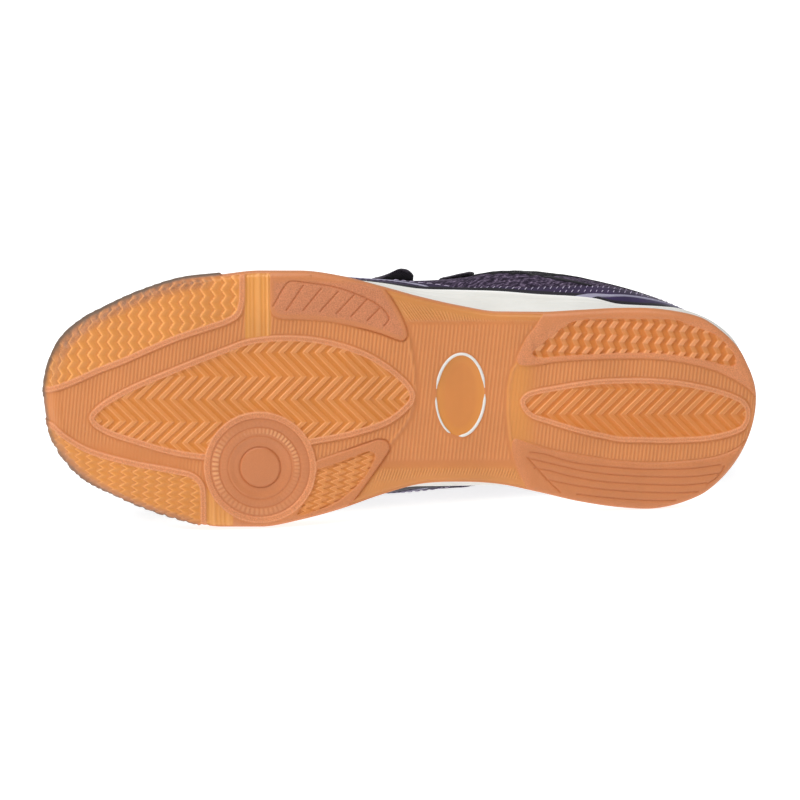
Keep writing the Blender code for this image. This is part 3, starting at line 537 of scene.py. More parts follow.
def new_mesh(name, points, faces, smooth_faces=True):
    """A mesh object from shoe coordinates; faces is a list of arrays, triangles or quads."""
    mesh = bpy.data.meshes.new(name)
    points = place(points)
    faces = [np.asarray(f, np.int32) for f in faces if len(f)]
    mesh.vertices.add(len(points))
    mesh.vertices.foreach_set("co", points.astype(np.float32).ravel())
    loops = np.concatenate([f.ravel() for f in faces])
    sizes = np.concatenate([np.full(len(f), f.shape[1], np.int32) for f in faces])
    mesh.loops.add(len(loops))
    mesh.loops.foreach_set("vertex_index", loops)
    mesh.polygons.add(len(sizes))
    mesh.polygons.foreach_set("loop_start", np.concatenate([[0], np.cumsum(sizes)[:-1]]).astype(np.int32))
    mesh.polygons.foreach_set("loop_total", sizes)
    mesh.polygons.foreach_set("use_smooth", np.full(len(sizes), smooth_faces))
    mesh.update(calc_edges=True)
    mesh.validate(verbose=False)
    obj = bpy.data.objects.new(name, mesh)
    bpy.context.scene.collection.objects.link(obj)
    return obj


def paint(obj, name, values):
    """A colour for each vertex, linear."""
    layer = obj.data.attributes.get(name) or obj.data.attributes.new(name, "FLOAT_COLOR", "POINT")
    rgba = np.ones((len(values), 4), np.float32)
    rgba[:, :values.shape[1]] = values
    layer.data.foreach_set("color", rgba.ravel())


# ---------------------------------------------------------------- tread
LINES = {}


def line_of(name, rows, closed=True):
    if name not in LINES:
        LINES[name] = curve([row[:2] for row in rows[1:]], closed)
    return LINES[name]


def bars(u, pitch, width, soft):
    """Flat-topped bars that start at u = 0."""
    c = np.abs((u - width / 2 + pitch / 2) % pitch - pitch / 2)
    return 1 - ramp(c - width / 2, soft)


def saw(u, pitch, crest, fall):
    """Bars with a steep front at u = 0 and a long back."""
    w = u % pitch
    front = ramp(w, 0.16) + ramp(w - pitch, 0.16)
    back = 1 - smooth((w - crest) / fall)
    first = np.where(w > pitch - 0.16, 1.0, back)
    return np.clip(front, 0, 1) * first


def wave(v, rows):
    """Zigzag: shift along x at each turning row."""
    at, shift = zip(*sorted(rows))
    return np.interp(v, at, shift)


def triangle(v, period, swing, start):
    """Zigzag of even period: swing at start, 0 half a period on."""
    t = ((v - start) / period) % 1.0
    return swing * np.abs(2 * t - 1)


def stroke(shift, v, around=0.35):
    """1 where a zigzag runs up to the toe's far side, 0 where it runs back."""
    step = shift(v + around) - shift(v - around)
    return smooth(0.5 + 0.5 * step / np.maximum(np.abs(step).max(), 1e-6) * 1.6)


def hair(w, at, wide=0.26):
    """A thin line beside a bar's front."""
    return np.exp(-((w - at) / wide) ** 2)


def tread(x, v, inner_reach):
    """Depth of the tread under its highest plane, colour, and grain at each point.

    inner_reach is the distance from the sole's edge, minus where the tread turns up the side.
    """
    n = len(x)
    colour = np.zeros((n, 3), np.float32)
    col = {name: linear(value).astype(np.float32) for name, value in GUM.items()}
    grain = np.zeros(n, np.float32)

    def lay(weight, deep, tint, rough=0.0, tint2=None, share=None):
        """Lays a zone over what is there."""
        nonlocal depth, colour, grain
        w = np.asarray(weight, np.float32)
        depth = depth * (1 - w) + deep * w
        t = col[tint] if tint2 is None else col[tint] + (col[tint2] - col[tint]) * np.asarray(share)[:, None]
        colour = colour * (1 - w[:, None]) + t * w[:, None]
        grain = grain * (1 - w) + rough * w

    def fine_ribs(phase, pitch, width=None, soft=0.26):
        return bars(phase, pitch, width or pitch * 0.48, soft)

    lean = x - 0.105 * v                     # the ribs lean a little
    plate = np.where(lean < 70.0, lean * 1.49 / 1.42, lean + 70.0 * (1.49 / 1.42 - 1))

    def rimmed(inside, wide, level=0.10):
        """A raised rim from its outer side in: sandy top, a thin raised line along each side with a painted highlight,
        and painted shade at its foot.
        """
        nonlocal depth, colour
        lay(ramp(inside, 0.24), level, "rim", 0.9)
        lines = hair(inside, 0.30, 0.24) + 0.8 * hair(inside, wide - 0.30, 0.24)
        depth -= 0.10 * lines
        colour += (col["rim_line"] - colour) * (0.75 * lines)[:, None]
        foot_shade = hair(inside, -0.35, 0.28)
        colour += (col["shade"] - colour) * (0.22 * foot_shade)[:, None]

    centre = depth_in(x, v, line_of("centre", CENTRE))
    toe_o = curve_side(x, v, line_of("toe_outer", TOE_OUTER, False), up=True)
    toe_i = curve_side(x, v, line_of("toe_inner", TOE_INNER, False), up=False)
    outer = depth_in(x, v, line_of("outer_panel", OUTER_PANEL))
    inner = depth_in(x, v, line_of("inner_panel", INNER_PANEL))
    heel_c = depth_in(x, v, line_of("heel_centre", HEEL_CENTRE))
    heel_o = depth_in(x, v, line_of("heel_outer", HEEL_OUTER))
    heel_i = depth_in(x, v, line_of("heel_inner", HEEL_INNER))
    r = np.hypot(x - PIVOT["x"], v - PIVOT["v"])
    fore_arc = between([row[0] for row in FORE_ARC[1:]], [row[1] for row in FORE_ARC[1:]], v)
    heel_arc = between([row[0] for row in HEEL_ARC[1:]], [row[1] for row in HEEL_ARC[1:]], v)

    # the forefoot's ribbed plate
    clear = np.minimum.reduce([-centre, np.abs(toe_o) - 1.0, np.abs(toe_i) - 1.0, np.abs(outer), np.abs(inner),
                               r - PIVOT["outer"]])
    strength = smooth((clear - 0.35) / 0.7)
    low = smooth((-v - 14.0) / 6.0) * smooth((66.0 - x) / 16.0)          # ribs fade along the inner toe
    tip = smooth((9.0 - x) / 6.0)
    ribs = fine_ribs(plate - 0.4, 1.49) * strength * (1 - 0.85 * low) * (1 - 0.5 * tip)
    depth = np.full(n, 0.72, np.float32) - 0.28 * ribs
    colour[:] = col["band"] + (col["rib"] - col["band"]) * (0.9 * ribs)[:, None]

    # shank
    shank = ramp(x - fore_arc, 0.35) * (1 - ramp(x - heel_arc, 0.35))
    straight = fine_ribs(lean, 1.50)
    outer_bend = fine_ribs(x + (v - 30.0) * (0.25 + 0.45 * smooth((160.0 - x) / 15.0)), 1.06, soft=0.20)
    inner_bend = fine_ribs(x - 0.36 * v, 1.13, soft=0.20)
    up = smooth((v - 30.2) / 0.8)
    down = smooth((-26.2 - v) / 0.8)
    edge_fade = smooth((inner_reach - 2.2) / 1.6)
    lines = (straight * (1 - smooth((v - 28.4) / 1.6)) * (1 - smooth((-22.4 - v) / 1.8))
             + 1.7 * outer_bend * up * edge_fade
             + 1.6 * inner_bend * down * edge_fade * (1 - 0.7 * smooth((-30.6 - v) / 1.0)))
    off_arcs = smooth((x - fore_arc - 0.9) / 1.2) * smooth((heel_arc - x - 0.6) / 1.0)
    window = oval(x, v)
    lines = lines * off_arcs * smooth((window - 0.8) / 0.8)
    lay(shank, 0.74 - 0.20 * lines, "shank", 0.10, "rib", 0.85 * lines)
    yellow = shank * np.clip(smooth((v - 29.0) / 4.0) + smooth((-24.0 - v) / 5.0) * 0.8, 0, 1)
    colour += (col["edge"] - colour) * (yellow * 0.55)[:, None]

    # heel plate
    heel = ramp(x - heel_arc, 0.3)
    clear = np.minimum.reduce([-heel_c, -heel_o, -heel_i])
    strength = smooth((clear - 0.45) / 0.6) * (0.35 + 0.65 * smooth((x - 187.0) / 6.0)) * smooth((x - heel_arc - 0.8) / 0.8)
    ribs = fine_ribs(lean, 1.46) * strength
    lay(heel, 0.72 - 0.28 * ribs, "band", 0.0, "rib", 0.9 * ribs)
    front = heel * (1 - smooth((x - 184.0) / 8.0))
    colour += (col["flex"] - colour) * (front * 0.6)[:, None]

    # raised lips along both arcs
    lip = np.exp(-((x - fore_arc + 0.9) / 0.55) ** 2) * (np.abs(v) < 60) * smooth((v + 36.0) / 4.0)
    depth -= 0.35 * lip
    lip2 = np.exp(-((x - heel_arc - 0.8) / 0.5) ** 2) * (1 - ramp(heel_o + 0.3, 0.3)) * (1 - ramp(heel_i + 0.3, 0.3))
    depth -= 0.35 * lip2
    colour += (col["rib"] - colour) * (0.5 * np.maximum(lip, lip2))[:, None]

    # flex bands across the ball, both sides; two raised ribs in each carry a painted highlight
    flex = ramp(x - 78.0, 0.3) * (1 - ramp(x - 87.9, 0.3)) * ramp(v - 24.0, 1.0) * (1 - ramp(centre + 0.2, 0.3))
    fine = 0.5 + 0.5 * np.cos((x - 79.4) * 2 * math.pi / 1.48)
    highlit_ribs = np.exp(-((x - 83.2) / 0.5) ** 2) + np.exp(-((x - 86.9) / 0.45) ** 2)
    lay(flex, 0.75 - 0.16 * fine - 0.30 * highlit_ribs, "flex", 0.0, "flex_rib_highlight", np.clip(0.45 * fine + 0.6 * highlit_ribs, 0, 1))
    flex = ramp(x - 62.6, 0.3) * (1 - ramp(x - 73.0, 0.3)) * ramp(-34.5 - v, 1.2) * (1 - ramp(PIVOT["outer"] - r, 0.3))
    fine = 0.5 + 0.5 * np.cos((x - 64.2) * 2 * math.pi / 1.62)
    highlit_ribs = np.exp(-((x - 65.3) / 0.5) ** 2) + np.exp(-((x - 71.4) / 0.45) ** 2)
    lay(flex, 0.75 - 0.16 * fine - 0.30 * highlit_ribs, "flex", 0.0, "flex_rib_highlight", np.clip(0.45 * fine + 0.6 * highlit_ribs, 0, 1))

    # toe, outer side: thin steep-fronted zigzag crests inside a rim
    def crests(u, pitch, crest, fall):
        """Height, painted highlight along the crest and painted shade at the foot of a zigzag row."""
        up = saw(u, pitch, crest, fall)
        w = u % pitch
        return up, hair(w, 0.36, 0.32), hair(w, pitch - 0.28, 0.26)

    up, crest_highlight, dark = crests(x - triangle(v, 5.2, 1.85, 30.0) - 36.65, 4.0, 0.55, 2.4)
    field = ramp(toe_o - 1.05, 0.22)
    rimmed(toe_o + 1.1, 2.15)
    worn = smooth((5.4 - inner_reach) / 3.0) * smooth((x + 2.0) / 10.0) * (1 - smooth((x - 58.0) / 12.0))
    # bar tops a little lighter; the crest line is a painted highlight
    lay(field, 0.66 - 0.50 * up, "toe_groove", 0.15, "toe_bar_highlight", np.clip(0.18 * up + 0.85 * crest_highlight, 0, 1))
    # painted shade at the foot of each crest
    colour += (col["shade"] - colour) * (0.45 * dark * field)[:, None]
    patch = 0.5 + 0.5 * np.sin(1.75 * x + 0.6 * inner_reach) * np.sin(0.62 * x - 2.1 * inner_reach)
    colour += (col["worn"] - colour) * (worn * field * (0.70 - 0.25 * crest_highlight))[:, None]
    # patchy grey-brown darkening near the toe's edge
    grey_patches = worn * field * smooth((3.4 - inner_reach) / 2.4) * smooth((patch - 0.40) / 0.30)
    colour += (col["grey_brown"] * 1.25 - colour) * (grey_patches * (0.52 - 0.30 * crest_highlight))[:, None]
    grain += 0.6 * worn * field

    # toe, inner side: finer zigzag
    up, crest_highlight, dark = crests(x - 0.105 * (v + 38.1) - triangle(v, 2.8, 2.4, -38.1) - 56.2, 4.69, 0.5, 2.6)
    field = ramp(toe_i - 1.05, 0.22)
    rimmed(toe_i + 1.1, 2.15)
    # bar tops a little lighter; the crest line is a painted highlight
    lay(field, 0.62 - 0.42 * up, "toe_groove", 0.15, "toe_bar_highlight", np.clip(0.10 * up + 0.55 * crest_highlight, 0, 1))
    # painted shade at the foot of each crest
    colour += (col["shade"] - colour) * (0.25 * dark * field)[:, None]
    worn = smooth((2.8 - inner_reach) / 2.2) * smooth((x + 2.0) / 10.0) * (1 - smooth((x - 50.0) / 12.0))
    colour += (col["worn"] - colour) * (worn * field * 0.75)[:, None]

    # centre: chevrons inside a rim; a bar is a flat strip between two thin ridges
    def chevrons(phase, rising, pitch, width, tops=("bar", "bar")):
        nonlocal depth, colour, grain
        w = phase % pitch
        up = bars(phase, pitch, width, 0.24)
        first = hair(w, 0.18) + hair(w - pitch, 0.18)
        second = hair(w, width - 0.1, 0.24)
        # ridge is a painted highlight on the bar's edges and foot is painted shade beside them, both stronger on the
        # rising legs, the lit side
        ridge = first * (0.75 + 0.25 * rising) + second * (0.35 + 0.35 * rising)
        foot = hair(w, width + 0.42, 0.24) * (0.30 + 0.2 * rising) + hair(w, width - 0.55, 0.2) * 0.35 * (1 - rising)
        deep = 0.74 - (0.24 + 0.12 * rising) * up - 0.10 * ridge
        return deep, up, np.clip(ridge, 0, 1), np.clip(foot, 0, 1)

    rimmed(centre, 2.15)
    rows = ((36.6, 8.8), (27.8, 8.8), (18.6, 0.0), (9.4, 8.8), (0.4, 0.0), (-8.3, 8.8), (-16.6, 0.0), (-25.0, 8.8))
    rising = stroke(lambda at: wave(at, rows), v)
    deep, up, ridge, foot = chevrons(x - wave(v, rows) - 62.7, rising, 4.66, 2.15)
    field = ramp(centre - 2.15, 0.22)
    # bars of the rising legs painted lighter as the lit side; painted highlight on the ridges, painted shade at their
    # foot
    lay(field, deep, "groove", 0.12, "bar", up * (0.55 + 0.45 * rising))
    colour += (col["line"] - colour) * (0.62 * ridge * field)[:, None]
    colour += (col["shade"] - colour) * (0.42 * foot * field)[:, None]

    # outer smooth panel with its loop and slanting cuts
    lay(ramp(outer, 0.2), 0.05, "smooth", 0.35)
    sandy = ramp(outer - 1.6, 0.6) * ramp(8.2 + 0.0 * x - np.maximum(v - 38.0, 0) * 1.05, 1.2)
    lay(ramp(outer, 0.2) * np.clip(sandy, 0, 1), 0.08, "sand", 1.0)
    cut = off_line(x, v, line_of("outer_loop", OUTER_LOOP, False))
    for row in OUTER_CUTS[1:]:
        cut = np.minimum(cut, off_line(x, v, np.array([row[:2], row[2:]], float)))
    cut = np.exp(-(cut / 0.34) ** 2)
    depth += 0.5 * cut
    colour += (col["deep"] - colour) * (0.45 * cut)[:, None]
    seam = np.exp(-((outer + 0.15) / 0.34) ** 2) * smooth((x - 112.0) / 16.0)
    depth += 0.35 * seam
    colour += (col["deep"] - colour) * (0.4 * seam)[:, None]

    # inner raised panel, its herringbone
    lay(ramp(inner, 0.22), 0.0, "smooth", 0.45)
    mr = depth_in(x, v, line_of("inner_herring", INNER_HERRING))
    phase = x - 0.19 * (v + 30.4) - triangle(v, 2.6, 3.0, -30.4) - 116.0
    w = phase % 5.2
    up = bars(phase, 5.2, 2.7, 0.26)
    ridge = np.clip(hair(w, 0.18, 0.3) + hair(w - 5.2, 0.18, 0.3) + 0.45 * hair(w, 2.6, 0.26), 0, 1)
    field = ramp(mr, 0.2)
    lay(field, 0.70 - 0.36 * up - 0.10 * ridge, "groove", 0.15, "bar", 0.55 * up + 0.2)
    # painted highlight on the ridges, and a band of painted shade just inside the field's edge
    colour += (col["line"] - colour) * (0.75 * ridge * field)[:, None]
    edge_shade = np.exp(-((mr - 0.5) / 0.45) ** 2)
    colour += (col["shade"] - colour) * (0.6 * edge_shade)[:, None]
    seam = np.exp(-((inner + 0.1) / 0.34) ** 2) * smooth((x - 112.0) / 8.0)
    depth += 0.4 * seam
    colour += (col["deep"] - colour) * (0.4 * seam)[:, None]

    # pivot: textured rim, ring of cells, dish and stud
    around = np.arctan2(v - PIVOT["v"], x - PIVOT["x"])
    rimmed(PIVOT["outer"] - r, 2.5)
    lay(ramp(PIVOT["ring"] - r, 0.18), 0.42, "pivot", 0.25)
    # cells of two rings, raised more and painted with a highlight mostly where the light catches them: the inner ring
    # from the outer side round to the heel, the outer ring towards the toe
    near_ring = np.clip(np.exp(-(angle_between(around, 0.80) / 0.85) ** 2), 0.0, 1.0)
    far_ring = np.clip(np.exp(-(angle_between(around, 3.10) / 0.55) ** 2)
                       + 0.40 * np.exp(-(angle_between(around, -1.70) / 0.95) ** 2), 0.0, 1.0)
    cells = bars(around * 30 / math.pi, 1.0, 0.60, 0.16) * ramp(r - 16.1, 0.2) * ramp(18.55 - r, 0.2)
    depth -= 0.30 * cells * (0.15 + 0.85 * far_ring)
    colour += (col["cells"] - colour) * (cells * (0.05 + 0.9 * far_ring))[:, None]
    cells = bars(around * 30 / math.pi + 0.3, 1.0, 0.60, 0.16) * ramp(r - 13.3, 0.2) * ramp(15.4 - r, 0.2)
    depth -= 0.28 * cells * (0.12 + 0.88 * near_ring)
    colour += (col["cells"] - colour) * (cells * (0.06 + 0.9 * near_ring))[:, None]
    for radius, deep, wide in ((15.7, 0.22, 0.28), (19.3, 0.30, 0.30), (12.3, 0.25, 0.34)):
        line = np.exp(-((r - radius) / wide) ** 2)
        depth += deep * line
        colour += (col["deep"] - colour) * (0.35 * line)[:, None]
    hollow = smooth((PIVOT["dish"] - r) / 2.6)
    lay(ramp(PIVOT["dish"] - r, 0.2), 0.45 + 0.5 * hollow, "pivot", 0.2)
    lay(ramp(PIVOT["stud"] - r, 0.2), 0.62 - 0.1 * smooth((PIVOT["stud"] - r) / 7.0), "pivot", 0.15)
    line = np.exp(-((r - PIVOT["stud"] - 0.15) / 0.33) ** 2)
    depth += 0.42 * line
    colour += (col["deep"] - colour) * (0.55 * line)[:, None]

    # window: smooth oval
    rim_ring = np.exp(-((window - 0.2) / 0.9) ** 2)
    depth = depth * (1 - rim_ring) + 0.62 * rim_ring
    lay(ramp(-window - 0.2, 0.2), 0.98 + 0.25 * smooth(-window / 4.0), "amber", 0.0, "amber_deep", smooth(-window / 8.5))

    # heel: outer herringbone
    lay(ramp(heel_o, 0.22), 0.0, "rim", 0.8)
    edge = smooth((v - 29.5) / 3.0) * ramp(heel_o, 0.22)
    colour += (col["smooth"] - colour) * (0.7 * edge)[:, None]
    grain *= 1 - 0.7 * edge
    hl = depth_in(x, v, line_of("heel_herring", HEEL_HERRING))
    bent = v + 0.055 * (x - 210.0)
    rising = stroke(lambda at: triangle(at, 5.2, 1.6, 31.2), bent)
    phase = x - 0.115 * (v - 29.7) - triangle(bent, 5.2, 1.6, 31.2) - 217.75
    w = phase % 4.55
    up = bars(phase, 4.55, 2.1, 0.26)
    ridge = np.clip((hair(w, 0.2) + hair(w - 4.55, 0.2) + 0.6 * hair(w, 1.95)) * (0.25 + 0.75 * rising), 0, 1)
    field = ramp(hl, 0.24)
    lay(field, 0.86 - (0.34 + 0.26 * rising) * up - 0.08 * ridge, "heel_groove", 0.12, "heel_slant", up)
    # tops of the rising legs painted pinkish as the lit side; painted highlight on the ridges and painted shade beside
    # the bars
    colour += (col["heel_bar_lit"] - colour) * (0.9 * up * rising * field)[:, None]
    colour += (col["line"] - colour) * (0.6 * ridge * field)[:, None]
    colour += (col["shade"] - colour) * (0.6 * hair(w, 2.5, 0.3) * field * (0.4 + 0.6 * rising))[:, None]

    # heel: centre chevrons
    rimmed(heel_c, 1.9)
    rows = ((24.0, 0.0), (14.4, 0.0), (4.6, 9.9), (-5.4, 0.0), (-15.6, 9.9), (-26.0, 0.0))
    rising = stroke(lambda at: wave(at, rows), v)
    deep, up, ridge, foot = chevrons(x - wave(v, rows) - 194.0, rising, 4.72, 2.3)
    field = ramp(heel_c - 1.9, 0.22)
    # bars of the rising legs painted lighter as the lit side; painted highlight on the ridges, painted shade at their
    # foot
    lay(field, deep, "heel_groove", 0.12, "heel_slant", up * (0.5 + 0.5 * rising))
    colour += (col["line"] - colour) * (0.62 * ridge * (0.45 + 0.55 * rising) * field)[:, None]
    colour += (col["shade"] - colour) * (0.40 * foot * field)[:, None]

    # heel: inner panel with long lines
    lay(ramp(heel_i, 0.22), 0.0, "heel_inner", 0.2)
    band = np.exp(-((heel_i - 0.9) / 0.8) ** 2)
    grain += 0.5 * band
    colour += (col["rim"] - colour) * (0.6 * band)[:, None]
    cut = np.full(n, 3.0, np.float32)
    for row in HEEL_LINES:
        cut = np.minimum(cut, off_line(x, v, curve(row, False)))
    cut = np.exp(-(cut / 0.33) ** 2)
    depth += 0.42 * cut
    colour += (col["deep"] - colour) * (0.45 * cut)[:, None]

    return depth, colour, grain


def curve_side(x, v, line, up):
    """Signed distance to an open line that runs along the shoe: plus on its outer (up) or inner side."""
    out = np.full(x.shape, -4.0, np.float32)
    box = np.vstack([line, line + [0, 60.0 if up else -60.0]])
    poly = np.vstack([line, [[line[0, 0], line[-1, 1]]]])
    k = np.nonzero(near(x, v, box, 4.0))[0]
    d = distance_to(x[k], v[k], line)
    out[k] = np.where(within(x[k], v[k], poly), d, -d)
    return np.maximum(out, -4.0)


def angle_between(a, b):
    return (a - b + math.pi) % (2 * math.pi) - math.pi


def oval(x, v):
    """About the distance from the window's edge, minus inside."""
    turn = math.radians(WINDOW["turn"])
    dx, dv = x - WINDOW["x"], v - WINDOW["v"]
    a = dx * math.cos(turn) + dv * math.sin(turn)
    b = -dx * math.sin(turn) + dv * math.cos(turn)
    k = np.hypot(a / WINDOW["along"], b / WINDOW["across"])
    slope = np.hypot(a / WINDOW["along"] ** 2, b / WINDOW["across"] ** 2) / np.maximum(k, 1e-6)
    return (k - 1) / np.maximum(slope, 1e-6)


EDGE_TURN = math.radians(40.0)       # the tread's own mesh ends here on the rounded lower edge


def build_outsole():
    loop = Loop(SOLE_T, 1500)
    radius = SOLE_T.read("edge", loop.key)
    start = radius * (1 - math.sin(EDGE_TURN))
    contour = loop.inset(start)

    # distance from the edge on a grid of points
    xs = np.arange(0.0, LENGTH + GRID, GRID)
    vs = np.arange(-51.0, 51.0 + GRID, GRID)
    gx, gv = np.meshgrid(xs, vs, indexing="ij")
    inside = within(gx.ravel(), gv.ravel(), contour).reshape(gx.shape)
    rim_line = loop.point
    reach = np.full(gx.shape, 12.0, np.float32)
    which = np.zeros(gx.shape, np.int32)
    pts = np.argwhere(inside)
    px, pv = xs[pts[:, 0]], vs[pts[:, 1]]
    lo = -SOLE_T.at_x("inner", np.clip(px, 0, LENGTH))
    hi = SOLE_T.at_x("outer", np.clip(px, 0, LENGTH))
    band = (pv < lo + 16) | (pv > hi - 16) | (px < 16) | (px > LENGTH - 14)
    pts = pts[band]
    px, pv = xs[pts[:, 0]].astype(np.float32), vs[pts[:, 1]].astype(np.float32)
    rl = rim_line.astype(np.float32)
    for s in range(0, len(px), 4000):
        d = (px[s:s + 4000, None] - rl[None, :, 0]) ** 2 + (pv[s:s + 4000, None] - rl[None, :, 1]) ** 2
        k = d.argmin(1)
        # distance square to the edge there
        off = ((rim_line[k, 0] - px[s:s + 4000]) * loop.out[k, 0] + (rim_line[k, 1] - pv[s:s + 4000]) * loop.out[k, 1])
        reach[pts[s:s + 4000, 0], pts[s:s + 4000, 1]] = off
        which[pts[s:s + 4000, 0], pts[s:s + 4000, 1]] = k
    keep = inside & (reach - radius[which] * (1 - math.sin(EDGE_TURN)) > 0.13)
    cells = keep[:-1, :-1] & keep[1:, :-1] & keep[:-1, 1:] & keep[1:, 1:]
    used = np.zeros(gx.shape, bool)
    used[:-1, :-1] |= cells
    used[1:, :-1] |= cells
    used[:-1, 1:] |= cells
    used[1:, 1:] |= cells
    number = np.full(gx.shape, -1, np.int64)
    number[used] = np.arange(used.sum())
    ux, uv = gx[used], gv[used]
    ur, uk = reach[used], which[used]

    # height and tread, with the pattern carried round the lower edge
    r_here = radius[uk]
    turn = np.arcsin(np.clip(1 - ur / r_here, 0, 1))
    base_x = np.where(ur < r_here, rim_line[uk, 0] - loop.out[uk, 0] * r_here, ux)
    high = np.where(ur < r_here, ground(base_x) + r_here * (1 - np.cos(turn)), ground(ux))
    more = np.where(ur < r_here, r_here * (turn - np.sin(turn)), 0.0)
    depth, colour, grain = tread(ux + loop.out[uk, 0] * more, uv + loop.out[uk, 1] * more, ur)
    lift = depth
    points = np.stack([ux + loop.out[uk, 0] * -depth * np.sin(turn) * 0.9, uv + loop.out[uk, 1] * -depth * np.sin(turn) * 0.9,
                       high + lift * np.where(ur < r_here, np.cos(turn), 1.0)], 1)

    # two triangles a cell, split along the diagonal that follows the pattern
    i, j = np.nonzero(cells)
    a, b, c, d = number[i, j], number[i + 1, j], number[i + 1, j + 1], number[i, j + 1]
    first = np.abs(points[a, 2] - points[c, 2]) < np.abs(points[b, 2] - points[d, 2])
    tris = np.concatenate([
        np.stack([a, c, b], 1)[first], np.stack([a, d, c], 1)[first],
        np.stack([a, d, b], 1)[~first], np.stack([b, d, c], 1)[~first]])

    # the grid's own border, as a ring of vertices
    follow = {}
    pad = np.zeros((cells.shape[0] + 2, cells.shape[1] + 2), bool)
    pad[1:-1, 1:-1] = cells
    for ci, cj in np.argwhere(cells & ~(pad[:-2, 1:-1] & pad[2:, 1:-1] & pad[1:-1, :-2] & pad[1:-1, 2:])):
        corners = [number[ci, cj], number[ci + 1, cj], number[ci + 1, cj + 1], number[ci, cj + 1]]
        sides = [pad[ci + 1, cj], pad[ci + 2, cj + 1], pad[ci + 1, cj + 2], pad[ci, cj + 1]]
        for k in range(4):
            if not sides[k]:
                follow[corners[k]] = corners[(k + 1) % 4]
    begin = min(follow)
    border = [begin]
    while follow[border[-1]] != begin:
        border.append(follow[border[-1]])
    if len(border) != len(follow):
        raise RuntimeError("the tread's border isn't one ring")
    border = np.array(border)

    # rings from the tread's border up the side and over the wall's top
    count = len(loop.point)
    base = loop.inset(radius)
    base_ground = ground(base[:, 0])
    top = wall_top(loop.point[:, 0])
    rings, tints, grains = [], [], []
    base_count = len(points)

    def ring(offset, height, tint=None, rough=0.3):
        p = loop.inset(offset)
        rings.append(np.column_stack([p, height]))
        tints.append(tint if tint is not None else np.repeat(linear(GUM["smooth"])[None], count, 0))
        grains.append(np.full(count, rough) if np.isscalar(rough) else rough)

    slow = linear(GUM["smooth"])
    toe = smooth((64.0 - loop.point[:, 0]) / 22.0)                 # tread runs up the toe's bumper
    side_far = np.maximum(top - 0.7 - base_ground - radius, 0.5)
    px = loop.point[:, 0]
    outer_side = loop.turn <= math.pi
    bulge = 1.75 * smooth((40.0 - px) / 32.0)
    bulge = np.maximum(bulge, np.where(outer_side, 0.95 * smooth((69.2 - px) / 0.9), 0.8 * smooth((60.6 - px) / 0.9)))
    chunk = np.abs(((px - 0.6) / 4.15) % 1.0 - 0.5) * 2
    bulge = bulge - np.where(outer_side, 0.0, 0.30) * smooth((chunk - 0.62) / 0.25) * smooth((66.0 - px) / 4.0)
    # darker grey-brown on the toe's rounded edge and lower side wall, less on the inner side
    toe_side_grey = np.where(outer_side, smooth((69.2 - px) / 0.9), 0.75 * smooth((60.6 - px) / 3.0))[:, None]
    calm = np.where(outer_side, 0.3, 0.8)
    grey_brown = linear(GUM["grey_brown"])
    for degrees in (40, 45, 50, 55, 60, 65, 70, 75, 80, 85, 90):
        t = math.radians(degrees)
        p = loop.inset(radius * (1 - math.sin(t)))
        far = radius * (t - math.sin(t))
        deep, tint, rough = tread(p[:, 0] + loop.out[:, 0] * far, p[:, 1] + loop.out[:, 1] * far, radius * (1 - math.sin(t)))
        fade = toe + (1 - toe) * (1 - smooth((degrees - 48) / 22.0))
        floor_level = 0.0
        deep = deep * fade * (1 - (1 - calm) * smooth((degrees - 50) / 25.0)) + floor_level
        h = base_ground + radius * (1 - math.cos(t)) + deep * math.cos(t)
        q = loop.inset(radius * (1 - math.sin(t)) + deep * math.sin(t) * 0.9 - bulge * smooth((degrees - 46) / 40.0))
        rings.append(np.column_stack([q, h]))
        tint = tint * fade[:, None] + slow * (1 - fade[:, None])
        tints.append(tint + (grey_brown - tint) * toe_side_grey * 0.92 * smooth((degrees - 58) / 16.0))
        grains.append(rough)
    for share in np.linspace(0.06, 1.0, 16):
        up = side_far * share
        far = radius * (math.pi / 2 - 1) + up
        p = loop.point
        deep, tint, rough = tread(p[:, 0] + loop.out[:, 0] * far, p[:, 1] + loop.out[:, 1] * far, -up)
        fade = toe * (1 - smooth((up - 2.5) / 3.0))
        line = np.exp(-((side_far * (1 - share) - 1.2) / 0.42) ** 2) * smooth(side_far / 3.0)
        q = loop.inset(deep * fade * 0.9 * calm + 0.35 * line - 0.12 * math.sin(math.pi * share)
                       - bulge * (1 - 0.75 * smooth((share - 0.45) / 0.5)))
        rings.append(np.column_stack([q, base_ground + radius + up]))
        tint = tint * fade[:, None] + slow * (1 - fade[:, None])
        tints.append(tint + (grey_brown - tint) * toe_side_grey * (0.92 - 0.5 * smooth((share - 0.5) / 0.4)))
        grains.append(rough * fade + 0.35 * (1 - fade))
    for offset, drop in ((0.12, 0.32), (0.38, 0.10), (0.75, 0.0), (CUP_WALL - 0.3, 0.0), (CUP_WALL, 0.25)):
        ring(offset - 0.22 * bulge * (offset < 0.5), top - drop)
    for share in (0.33, 0.66, 1.0):
        ring(CUP_WALL + 0.5 * share, top - 0.25 + (ground(loop.point[:, 0]) + SOLE_THICK - top + 0.25) * share)
    wall_rings = len(rings)
    points = np.vstack([points] + rings)
    colour = np.vstack([colour] + tints)
    grain = np.concatenate([grain] + grains)
    faces = []
    for k in range(wall_rings - 1):
        a = base_count + k * count + np.arange(count)
        b = base_count + k * count + (np.arange(count) + 1) % count
        faces.append(np.stack([a, b, b + count, a + count], 1))

    # strip between the tread's border and the first ring
    first_ring = base_count + np.arange(count)
    edge = points[border][:, :2]
    match = np.array([((contour - p) ** 2).sum(1).argmin() for p in edge])
    strip = zipper(border, match, first_ring, contour, edge)
    tris = np.vstack([tris, strip])

